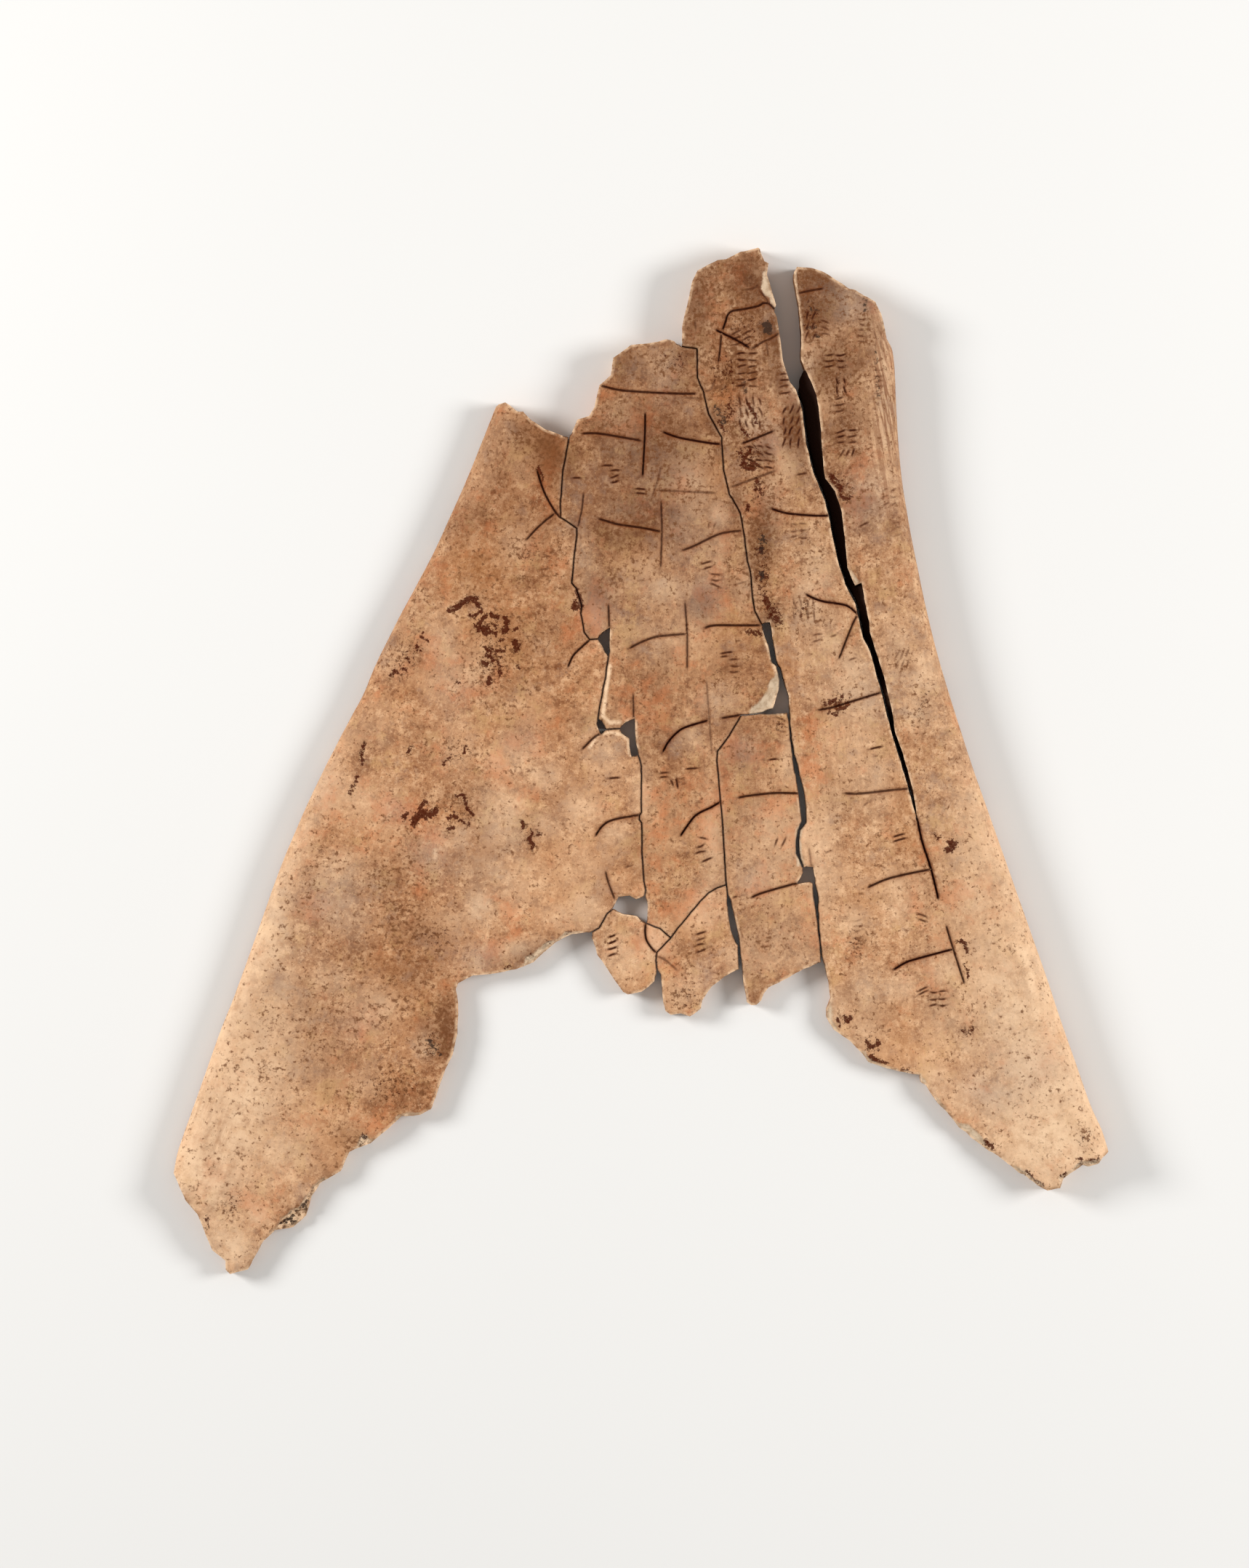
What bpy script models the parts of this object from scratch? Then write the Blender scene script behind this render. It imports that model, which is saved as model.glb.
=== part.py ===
"""Oracle bone: the blade of an ox shoulder blade, refitted from six broken pieces.

It lies with its written face up. The neck end points to +Y and the broad blade to -Y.
Outlines are read in millimetres and turned into metres when each plate is made.
"""
import math

import bpy
import bmesh
from mathutils import Vector
from mathutils.geometry import delaunay_2d_cdt

# Driving sizes, in millimetres
CLEARANCE = 0.34          # open width of a closed break between two pieces
NECK_THICKNESS = 8.4      # plate at the neck end
BLADE_THICKNESS = 4.4     # plate at the lower middle, where the blade is thinnest
RIGHT_THICKNESS = 11.0    # rib of the right border
LEFT_THICKNESS = 7.6      # rib of the left border
RIB_REACH = 30.0          # how far a border rib fades into the plate
ROUNDING = 5.0            # width of the rounded natural border
RIM_LEVEL = 0.42          # height of the border's rim as a part of the thickness
RIM_WALL = 0.5            # half height of the small wall left at that rim
WORN_DROP = 0.35          # how far the worn arris of a break sits below the face
WORN_WIDTH = 0.8          # width of that worn arris
FACE_STEP = 15.0          # spacing of the face's own points
FACE_REACHES = (0.9, 2.4, 5.2)  # the face has points this far in from a natural border
BACK_REACHES = (1.2, 5.2)  # and the back has
HALF_SPAN = 125.0         # the points of the face reach this far from the middle
OVAL_HALF_LENGTH = 7.4    # long burnt hollow, along Y
OVAL_HALF_WIDTH = 3.6
ROUND_RADIUS = 3.3        # small hollow beside it
ROUND_SHIFT = 5.6         # it lies this far to the left
OVAL_DEPTH = 0.62         # as a part of the thickness
ROUND_DEPTH = 0.45
MM = 0.001

# Natural borders, from the lower tip up to the neck
LEFT_BORDER = [
    (-109.5, -96.3), (-108.3, -90.7), (-104.4, -79.6), (-101.6, -71.7), (-98.5, -63.0),
    (-95.4, -55.2), (-91.6, -44.8), (-88.2, -35.2), (-85.0, -26.2), (-81.8, -18.3),
    (-78.3, -10.3), (-75.0, -3.3), (-71.4, 3.8), (-68.1, 10.1), (-65.0, 15.9),
    (-62.1, 22.8), (-57.1, 32.9), (-53.3, 40.0), (-48.7, 48.7), (-44.7, 57.4),
    (-41.2, 65.2), (-38.0, 73.0), (-34.0, 83.1),
]
RIGHT_BORDER = [
    (109.3, -90.0), (108.0, -86.0), (105.3, -80.0), (101.8, -70.0), (98.4, -60.3),
    (95.0, -50.0), (91.7, -40.6), (88.1, -30.4), (84.3, -19.6), (80.5, -8.9),
    (77.4, 0.0), (72.6, 15.0), (69.5, 25.5), (66.9, 36.1), (65.0, 45.2),
    (63.2, 54.2), (61.4, 65.2), (60.5, 74.2), (59.9, 84.5), (59.7, 90.0),
    (59.1, 96.0), (57.7, 99.0),
]

# Breaks shared by two pieces, from the neck down
LEFT_BREAK_TOP = [
    (-16.7, 75.8), (-17.6, 70.6), (-18.2, 68.0), (-18.7, 60.2), (-18.7, 57.0),
    (-14.9, 54.5), (-14.9, 52.8), (-15.6, 47.0), (-16.0, 41.7), (-15.0, 40.4),
    (-13.7, 36.4), (-13.9, 34.6), (-13.2, 30.2), (-11.9, 28.5), (-9.9, 28.7),
]
LEFT_BREAK_MIDDLE = [(-7.5, 24.6), (-8.2, 19.6), (-9.2, 14.7), (-10.0, 10.0)]
LEFT_BREAK_BRIDGE = [(-8.1, 7.5), (-4.7, 7.7)]
LEFT_BREAK_LOW = [
    (-0.6, 1.6), (0.2, -1.1), (0.2, -11.9), (-0.3, -12.6), (-0.3, -13.6), (0.3, -14.4),
    (0.3, -20.6), (0.8, -28.0), (1.2, -30.1), (1.0, -31.4),
]
RIGHT_BREAK = [
    (9.5, 97.0), (13.2, 96.4), (13.3, 89.7), (14.7, 86.2), (15.9, 81.2), (19.0, 75.7),
    (19.2, 71.4), (19.4, 68.3), (20.8, 62.4), (23.4, 58.0), (24.1, 53.8), (25.0, 46.8),
    (25.7, 44.3), (26.2, 38.1), (26.7, 35.2), (28.4, 32.1),
]
STRIP_BREAK = [
    (26.9, 11.1), (23.6, 10.9), (20.7, 5.9), (18.0, 2.4), (17.9, 0.1), (18.5, -6.5),
    (19.1, -13.2), (19.5, -19.8), (20.1, -28.9),
]
DIAGONAL_BREAK = [
    (20.1, -28.9), (17.7, -29.7), (15.9, -30.8), (12.8, -34.1), (9.0, -38.8), (7.1, -41.3),
]
CHIP_BREAK = [(7.1, -41.3), (5.9, -40.3), (4.5, -39.1), (1.3, -37.9)]
FLAKE_BREAK = [(7.1, -41.3), (3.8, -44.7), (3.6, -46.6), (3.8, -48.3)]
CORNER_BREAK = [(-6.4, -34.4), (-7.9, -35.8), (-9.7, -39.0), (-11.4, -40.0)]

LEFT_WING = LEFT_BORDER + [
    (-33.3, 83.7), (-31.6, 84.2), (-28.7, 82.1), (-27.3, 82.0), (-25.5, 80.0),
    (-22.4, 78.0), (-18.2, 76.4),
] + LEFT_BREAK_TOP + [(-8.8, 27.2)] + LEFT_BREAK_MIDDLE + [
    (-9.9, 8.4), (-9.2, 6.6),
] + LEFT_BREAK_BRIDGE + [
    (-4.2, 6.8), (-2.4, 5.5), (-2.3, 3.5), (-1.9, 1.4),
] + LEFT_BREAK_LOW + [
    (0.3, -32.1), (-1.0, -32.5), (-2.6, -31.6), (-5.0, -31.9), (-5.7, -33.2),
] + CORNER_BREAK + [
    (-16.0, -40.7), (-19.8, -42.5), (-24.9, -47.2), (-29.1, -48.9), (-34.0, -49.9),
    (-39.1, -50.3), (-42.6, -52.2), (-43.1, -53.5), (-42.5, -57.0), (-42.7, -64.0),
    (-43.9, -69.0), (-45.6, -72.4), (-48.9, -81.6), (-51.6, -83.1), (-55.8, -83.3),
    (-60.1, -87.1), (-63.2, -89.6), (-68.1, -91.6), (-70.1, -96.1), (-75.0, -99.0),
    (-77.0, -102.3), (-78.3, -106.6), (-81.3, -109.4), (-85.5, -110.0), (-88.2, -112.4),
    (-91.8, -119.1), (-96.2, -120.3), (-97.3, -119.1), (-97.4, -117.0), (-100.4, -114.6),
    (-103.8, -106.1), (-106.5, -102.8),
]
CENTRE_PANEL = list(reversed(LEFT_BREAK_TOP)) + [
    (-16.2, 77.2), (-14.9, 80.0), (-12.2, 80.9), (-11.0, 83.0), (-9.8, 88.0),
    (-7.1, 90.3), (-6.6, 94.4), (-5.2, 95.3), (-2.3, 97.5), (3.9, 98.2), (6.0, 98.9),
    (7.9, 98.4),
] + RIGHT_BREAK + [
    (29.2, 29.4), (30.1, 27.3), (30.9, 23.4), (31.9, 22.3), (32.8, 18.9), (32.6, 16.5),
    (31.2, 12.2),
] + STRIP_BREAK + DIAGONAL_BREAK[1:] + CHIP_BREAK[1:] + [
    (1.4, -33.7),
] + list(reversed(LEFT_BREAK_LOW)) + [
    (-1.3, 4.3), (-1.6, 9.7), (-3.4, 8.9),
] + list(reversed(LEFT_BREAK_BRIDGE)) + [(-9.2, 9.3)] + list(reversed(LEFT_BREAK_MIDDLE)) + [
    (-7.3, 31.0), (-8.7, 30.2),
]
RIGHT_WING = RIGHT_BORDER + [
    (56.5, 104.0), (55.0, 107.4), (52.5, 108.8), (50.0, 110.3), (48.9, 110.5),
    (45.4, 112.8), (43.1, 114.4), (40.0, 115.5), (36.4, 115.8),
    # left bank of the wing, down the long open crack
    (35.6, 114.3), (35.6, 112.5), (36.6, 107.1), (37.3, 100.0), (37.2, 93.7),
    (38.7, 90.4), (40.9, 85.5), (41.8, 78.6), (42.5, 68.3), (42.9, 66.0), (45.2, 63.0),
    (46.8, 58.0), (47.5, 51.8), (48.1, 45.1), (50.0, 40.8), (51.4, 41.4), (53.1, 32.7),
    (53.3, 30.2), (56.6, 19.8), (58.8, 10.6), (59.1, 7.1), (61.3, 0.9), (63.4, -6.8),
    (64.7, -13.6),
    # right bank of the strip, back up to the neck
    (62.6, -5.3), (60.7, 0.9), (58.7, 7.5), (56.6, 15.7), (53.9, 25.6), (52.2, 29.0),
    (50.4, 36.8), (48.1, 41.4), (46.4, 46.4), (44.6, 55.1), (43.5, 60.3), (40.6, 67.5),
    (38.9, 74.5), (38.0, 82.1), (36.6, 87.0), (35.1, 88.8), (33.5, 93.7), (32.2, 103.6),
    (31.5, 105.0), (32.0, 106.7), (29.8, 113.8), (30.2, 116.5), (29.1, 117.0),
    (28.1, 119.9), (27.5, 120.3), (23.3, 119.2), (19.9, 117.6), (17.9, 117.4),
    (14.3, 115.4), (13.1, 114.8), (11.9, 112.3), (9.9, 103.6), (9.5, 101.8),
] + RIGHT_BREAK + [
    (30.1, 32.4), (31.5, 23.6), (32.5, 21.9), (33.8, 17.3), (34.4, 15.3), (34.8, 10.9),
    (35.4, 5.1), (36.3, 0.1), (38.1, -7.4), (38.5, -10.7), (38.5, -14.2), (37.3, -16.1),
    (37.0, -18.6), (37.1, -21.5), (38.2, -24.9), (40.2, -24.9), (41.4, -31.8),
    (41.8, -38.0), (42.5, -45.5), (43.9, -52.0), (44.3, -55.4), (43.3, -57.9),
    (43.3, -59.9), (45.2, -63.0), (49.2, -65.9), (51.9, -68.6), (53.2, -70.6),
    (59.5, -72.6), (65.2, -73.6), (65.6, -75.4), (66.8, -76.1), (69.6, -80.3),
    (72.0, -82.6), (74.6, -86.0), (76.0, -86.9), (77.3, -88.3), (81.5, -91.3),
    (83.7, -92.5), (88.6, -96.5), (89.6, -96.8), (92.8, -99.4), (95.2, -100.6),
    (98.3, -99.9), (99.0, -97.6), (103.2, -94.5), (104.7, -94.7), (107.2, -94.0),
    (108.0, -92.6), (109.5, -91.2),
]
LOWER_RIGHT_STRIP = list(reversed(STRIP_BREAK)) + [
    (31.1, 11.4), (34.4, 11.6), (35.1, 5.1), (35.9, 0.1), (37.2, -7.4), (38.0, -14.0),
    (36.9, -16.1), (36.6, -18.6), (36.7, -21.5), (38.0, -25.0), (38.3, -26.0),
    (37.0, -28.4), (39.8, -27.9), (40.4, -28.5), (41.5, -38.0), (42.4, -47.1),
    (38.4, -48.8), (35.2, -50.6), (30.2, -53.1), (29.1, -54.5), (28.6, -56.1),
    (27.3, -57.2), (25.9, -57.3), (24.8, -56.5), (23.9, -51.8), (23.4, -46.0),
    (23.1, -42.6), (22.2, -38.0), (21.1, -33.5),
]
LOWER_MIDDLE_FLAKE = DIAGONAL_BREAK + FLAKE_BREAK[1:] + [
    (4.5, -49.9), (5.1, -56.3), (5.6, -58.6), (7.0, -59.6), (9.5, -59.3), (11.6, -60.0),
    (12.5, -59.5), (14.4, -57.9), (14.7, -56.1), (17.0, -52.7), (19.7, -50.6),
    (23.2, -48.7), (22.8, -43.1), (21.4, -39.6), (20.6, -33.6),
]
LOWER_LEFT_FLAKE = CORNER_BREAK + [
    (-11.6, -41.4), (-10.7, -43.5), (-10.3, -45.4), (-8.0, -48.7), (-6.5, -51.0),
    (-4.2, -54.1), (-3.0, -54.8), (0.3, -54.1), (2.0, -53.0), (3.4, -51.6), (3.9, -49.9),
] + list(reversed(FLAKE_BREAK)) + CHIP_BREAK[1:] + [
    (-0.7, -36.0), (-4.2, -35.4),
]

# Middles of the burnt hollows, in columns that the breaks and cracks run along
HOLLOW_COLUMNS = [
    [(-34.0, 38.0), (-37.0, 17.0), (-40.0, -4.0), (-43.0, -25.0)],
    [(-20.0, 57.0), (-13.0, 36.0), (-6.5, 15.0), (-0.2, -9.0), (-1.5, -30.0)],
    [(-1.0, 75.0), (4.9, 52.5), (10.8, 30.5), (16.2, 8.5), (19.3, -14.0), (12.0, -46.0)],
    [(14.2, 86.0), (19.4, 68.0), (24.6, 48.5), (29.6, 26.5), (36.8, -4.0), (37.0, -35.5)],
    [(30.6, 107.0), (36.2, 86.0), (43.2, 59.0), (50.8, 35.5), (57.4, 14.5), (63.2, -6.5),
     (68.2, -27.0), (74.6, -48.0)],
]

BONE_COLOUR = (0.62, 0.42, 0.27, 1.0)
BONE_ROUGHNESS = 0.55


def clear_scene():
    """Take every object out of the scene."""
    for old in list(bpy.data.objects):
        bpy.data.objects.remove(old, do_unlink=True)


def smooth(value):
    """Ease a number between 0 and 1."""
    value = min(max(value, 0.0), 1.0)
    return value * value * (3.0 - 2.0 * value)


def distance_to(line, x, y, closed=False):
    """Shortest distance from a point to a line of points."""
    best = math.inf
    last = len(line) if closed else len(line) - 1
    for i in range(last):
        ax, ay = line[i]
        bx, by = line[(i + 1) % len(line)]
        dx, dy = bx - ax, by - ay
        along = ((x - ax) * dx + (y - ay) * dy) / (dx * dx + dy * dy)
        along = min(max(along, 0.0), 1.0)
        best = min(best, math.hypot(x - ax - along * dx, y - ay - along * dy))
    return best


def thickness(x, y):
    """Full thickness of the bone at a point, before its border is rounded."""
    plain = BLADE_THICKNESS + (NECK_THICKNESS - BLADE_THICKNESS) * smooth((y + 60.0) / 170.0)
    right = smooth(1.0 - distance_to(RIGHT_BORDER, x, y) / RIB_REACH)
    left = smooth(1.0 - distance_to(LEFT_BORDER, x, y) / RIB_REACH)
    return plain + (RIGHT_THICKNESS - plain) * right + (LEFT_THICKNESS - plain) * left


def roundness(x, y):
    """0 at a natural border, 1 where the face has levelled off."""
    border = min(distance_to(RIGHT_BORDER, x, y), distance_to(LEFT_BORDER, x, y))
    inner = 1.0 - min(border / ROUNDING, 1.0)
    return math.sqrt(1.0 - inner * inner)


def front(x, y):
    """Height of the written face."""
    full = thickness(x, y)
    rim = RIM_LEVEL * full + RIM_WALL
    return rim + (full - rim) * roundness(x, y)


def hollow_depth(x, y):
    """Depth of the burnt hollows at a point of the back."""
    deepest = 0.0
    for column in HOLLOW_COLUMNS:
        for cx, cy in column:
            full = thickness(cx, cy)
            oval = math.hypot((x - cx) / OVAL_HALF_WIDTH, (y - cy) / OVAL_HALF_LENGTH)
            small = math.hypot(x - cx + ROUND_SHIFT, y - cy) / ROUND_RADIUS
            deepest = max(deepest, OVAL_DEPTH * full * min(1.0, 1.45 * (1.0 - oval)))
            deepest = max(deepest, ROUND_DEPTH * full * (1.0 - small * small))
    return deepest


def back(x, y):
    """Height of the back: flat, hollowed, and rising to the rim at a natural border."""
    rim = RIM_LEVEL * thickness(x, y) - RIM_WALL
    return max(rim * (1.0 - roundness(x, y)), hollow_depth(x, y))


def signed_area(outline):
    """Area of an outline, positive when it runs anticlockwise."""
    total = 0.0
    for i, (ax, ay) in enumerate(outline):
        bx, by = outline[(i + 1) % len(outline)]
        total += ax * by - bx * ay
    return total / 2.0


def inset(outline, width):
    """The outline moved inwards by a width, corner by corner."""
    moved = []
    count = len(outline)
    for i in range(count):
        here = Vector(outline[i])
        before = (here - Vector(outline[i - 1])).normalized()
        after = (Vector(outline[(i + 1) % count]) - here).normalized()
        inward = Vector((-before.y - after.y, before.x + after.x))
        if inward.length < 0.2:
            inward = before
        inward.normalize()
        spread = max(inward.dot(Vector((-before.y, before.x))), 0.45)
        moved.append(tuple(here + inward * (width / spread)))
    return moved


def inside(outline, x, y):
    """True when the point is within the outline."""
    found = False
    for i, (ax, ay) in enumerate(outline):
        bx, by = outline[(i + 1) % len(outline)]
        if (ay > y) != (by > y) and x < ax + (bx - ax) * (y - ay) / (by - ay):
            found = not found
    return found


def kept(points, outline, margin):
    """The points that lie within the outline, clear of its edge."""
    return [
        p for p in points
        if inside(outline, *p) and distance_to(outline, *p, closed=True) > margin
    ]


def border_points(reaches):
    """Points along both natural borders, at each distance in from them."""
    points = []
    for border, side in ((LEFT_BORDER, 1.0), (RIGHT_BORDER, -1.0)):
        for (ax, ay), (bx, by) in zip(border, border[1:]):
            run = math.hypot(bx - ax, by - ay)
            for reach in reaches:
                points.append((
                    (ax + bx) / 2.0 + side * abs(by - ay) / run * reach,
                    (ay + by) / 2.0 + side * (ax - bx) / run * reach,
                ))
    return points


def grid_points():
    """Staggered points over the whole bone."""
    points = []
    steps = int(HALF_SPAN / FACE_STEP)
    for row in range(-steps, steps + 1):
        shift = FACE_STEP / 2.0 if row % 2 else 0.0
        for column in range(-steps, steps + 1):
            points.append((column * FACE_STEP + shift, row * FACE_STEP))
    return points


def face_points(outline):
    """Points that carry the shape of the written face."""
    points = inset(outline, WORN_WIDTH) + border_points(FACE_REACHES) + grid_points()
    return kept(points, outline, WORN_WIDTH * 0.6)


def ring(cx, cy, half_width, half_length, count):
    """Points around one oval."""
    return [
        (cx + half_width * math.cos(math.tau * i / count),
         cy + half_length * math.sin(math.tau * i / count))
        for i in range(count)
    ]


def back_points(outline):
    """Points that carry the burnt hollows and the rounded border of the back."""
    points = border_points(BACK_REACHES)
    for column in HOLLOW_COLUMNS:
        for cx, cy in column:
            points.append((cx, cy))
            for part, count in ((1.0, 16), (0.66, 12), (0.31, 8)):
                points += ring(
                    cx, cy, OVAL_HALF_WIDTH * part, OVAL_HALF_LENGTH * part, count)
            points.append((cx - ROUND_SHIFT, cy))
            for part, count in ((1.0, 12), (0.6, 8)):
                points += ring(
                    cx - ROUND_SHIFT, cy, ROUND_RADIUS * part, ROUND_RADIUS * part, count)
    return kept(points, outline, 0.35)


def sheet(builder, outline, rim, inner, height):
    """One face of a plate, laid over its shared rim corners and its own inner points."""
    flat = [Vector(p) for p in outline + inner]
    loop = list(range(len(outline)))
    verts, _, faces, sources, _, owners = delaunay_2d_cdt(flat, [], [loop], 0, 1e-6, True)
    corners = []
    for p, source in zip(verts, sources):
        if source and min(source) < len(outline):
            corners.append(rim[min(source)])
        else:
            corners.append(builder.verts.new((p.x * MM, p.y * MM, height(p.x, p.y) * MM)))
    return [[corners[i] for i in face] for face, owner in zip(faces, owners) if owner]


def bone_material(name):
    """A plain bone finish for one piece."""
    material = bpy.data.materials.new(name + "_bone")
    material.use_nodes = True
    shader = material.node_tree.nodes["Principled BSDF"]
    shader.inputs["Base Color"].default_value = BONE_COLOUR
    shader.inputs["Roughness"].default_value = BONE_ROUGHNESS
    return material


def plate(name, outline):
    """One broken piece: a face, a hollowed back and the wall between them."""
    if signed_area(outline) < 0.0:
        outline = list(reversed(outline))
    outline = inset(outline, CLEARANCE / 2.0)
    builder = bmesh.new()
    top, low = [], []
    for x, y in outline:
        drop = WORN_DROP * roundness(x, y)
        top.append(builder.verts.new((x * MM, y * MM, (front(x, y) - drop) * MM)))
        low.append(builder.verts.new((x * MM, y * MM, back(x, y) * MM)))
    for face in sheet(builder, outline, top, face_points(outline), front):
        builder.faces.new(face)
    for face in sheet(builder, outline, low, back_points(outline), back):
        builder.faces.new(list(reversed(face)))
    for i in range(len(outline)):
        j = (i + 1) % len(outline)
        builder.faces.new((low[i], low[j], top[j], top[i]))
    bmesh.ops.triangulate(builder, faces=builder.faces[:])
    bmesh.ops.recalc_face_normals(builder, faces=builder.faces[:])
    mesh = bpy.data.meshes.new(name)
    builder.to_mesh(mesh)
    builder.free()
    mesh.materials.append(bone_material(name))
    piece = bpy.data.objects.new(name, mesh)
    bpy.context.scene.collection.objects.link(piece)
    return piece


def main():
    """Build the six pieces in their refitted places."""
    clear_scene()
    plate("left_wing", LEFT_WING)
    plate("centre_panel", CENTRE_PANEL)
    plate("right_wing", RIGHT_WING)
    plate("lower_right_strip", LOWER_RIGHT_STRIP)
    plate("lower_middle_flake", LOWER_MIDDLE_FLAKE)
    plate("lower_left_flake", LOWER_LEFT_FLAKE)


main()
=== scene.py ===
"""The looks of the oracle bone: its written face, breaks, hollowed back, cracks and stains.

Places on the bone are in millimetres: X to the right and Y towards the neck, from the
middle of the bone. Meshes are turned into metres when they are made.
"""

import logging
import math
from collections.abc import Callable
from dataclasses import dataclass, field
from enum import Enum
from functools import reduce

import bpy
import numpy as np
from bpy.types import ID, Material, Mesh, Node, NodeSocket, NodeTree, Object
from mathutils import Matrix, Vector
from mathutils.geometry import delaunay_2d_cdt
from mathutils.kdtree import KDTree

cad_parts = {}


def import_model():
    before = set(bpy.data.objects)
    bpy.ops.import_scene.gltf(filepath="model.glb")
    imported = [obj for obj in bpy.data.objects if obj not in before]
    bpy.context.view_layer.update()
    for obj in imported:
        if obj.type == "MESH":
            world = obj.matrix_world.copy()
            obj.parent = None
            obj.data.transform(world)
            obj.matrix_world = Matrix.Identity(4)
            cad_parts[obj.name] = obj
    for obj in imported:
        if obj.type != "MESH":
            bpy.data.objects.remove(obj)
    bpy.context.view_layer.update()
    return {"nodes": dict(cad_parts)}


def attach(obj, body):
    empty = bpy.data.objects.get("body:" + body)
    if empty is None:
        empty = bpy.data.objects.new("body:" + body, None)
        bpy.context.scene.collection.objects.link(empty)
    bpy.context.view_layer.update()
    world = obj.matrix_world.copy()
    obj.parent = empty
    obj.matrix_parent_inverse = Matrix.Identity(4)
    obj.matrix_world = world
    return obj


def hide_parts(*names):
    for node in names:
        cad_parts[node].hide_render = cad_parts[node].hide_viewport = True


log = logging.getLogger("oracle_bone")

MM = 0.001
Point = tuple[float, float]
Colour = tuple[float, float, float, float]
FAR = 1e9

# Seeded noise: how many values it draws, what mixes its cells, and the shift between layers
NOISE_VALUES = 4096
NOISE_KEYS = np.array([73856093, 19349663, 83492791])
LAYER_SHIFT = 37.0

# Mesh grids: height of a row of a triangle grid one wide, and how far its points are shaken
ROW_HEIGHT = 0.866
GRID_SHAKE = 0.16

# Smears, in half widths: where one ends, how wide its edge is, and how far it is looked for
SMEAR_EDGE = 1.55
SMEAR_FADE = 1.35
SMEAR_BOX = 2.2

# Where the fibres fan out from, and how far from there their streaks have their own width
FAN_CENTRE: Point = (24.4, 222.0)
FAN_RADIUS = 210.0

# Natural borders of the shoulder blade, from the lower tips up to the neck
LEFT_BORDER: list[Point] = [
    (-109.5, -96.3), (-108.3, -90.7), (-104.4, -79.6), (-101.6, -71.7), (-98.5, -63),
    (-95.4, -55.2), (-91.6, -44.8), (-88.2, -35.2), (-85, -26.2), (-81.8, -18.3), (-78.3, -10.3),
    (-75, -3.3), (-71.4, 3.8), (-68.1, 10.1), (-65, 15.9), (-62.1, 22.8), (-57.1, 32.9),
    (-53.3, 40), (-48.7, 48.7), (-44.7, 57.4), (-41.2, 65.2), (-38, 73), (-34, 83.1),
]
RIGHT_BORDER: list[Point] = [
    (109.3, -90), (108, -86), (105.3, -80), (101.8, -70), (98.4, -60.3), (95, -50), (91.7, -40.6),
    (88.1, -30.4), (84.3, -19.6), (80.5, -8.9), (77.4, 0), (72.6, 15), (69.5, 25.5), (66.9, 36.1),
    (65, 45.2), (63.2, 54.2), (61.4, 65.2), (60.5, 74.2), (59.9, 84.5), (59.7, 90), (59.1, 96),
    (57.7, 99),
]

# Middles of the burnt hollows in the back
HOLLOWS: list[Point] = [
    (-34, 38), (-37, 17), (-40, -4), (-43, -25), (-20, 57), (-13, 36), (-6.5, 15), (-0.2, -9),
    (-1.5, -30), (-1, 75), (4.9, 52.5), (10.8, 30.5), (16.2, 8.5), (19.3, -14), (12, -46),
    (14.2, 86), (19.4, 68), (24.6, 48.5), (29.6, 26.5), (36.8, -4), (37, -35.5), (30.6, 107),
    (36.2, 86), (43.2, 59), (50.8, 35.5), (57.4, 14.5), (63.2, -6.5), (68.2, -27), (74.6, -48),
]

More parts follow.
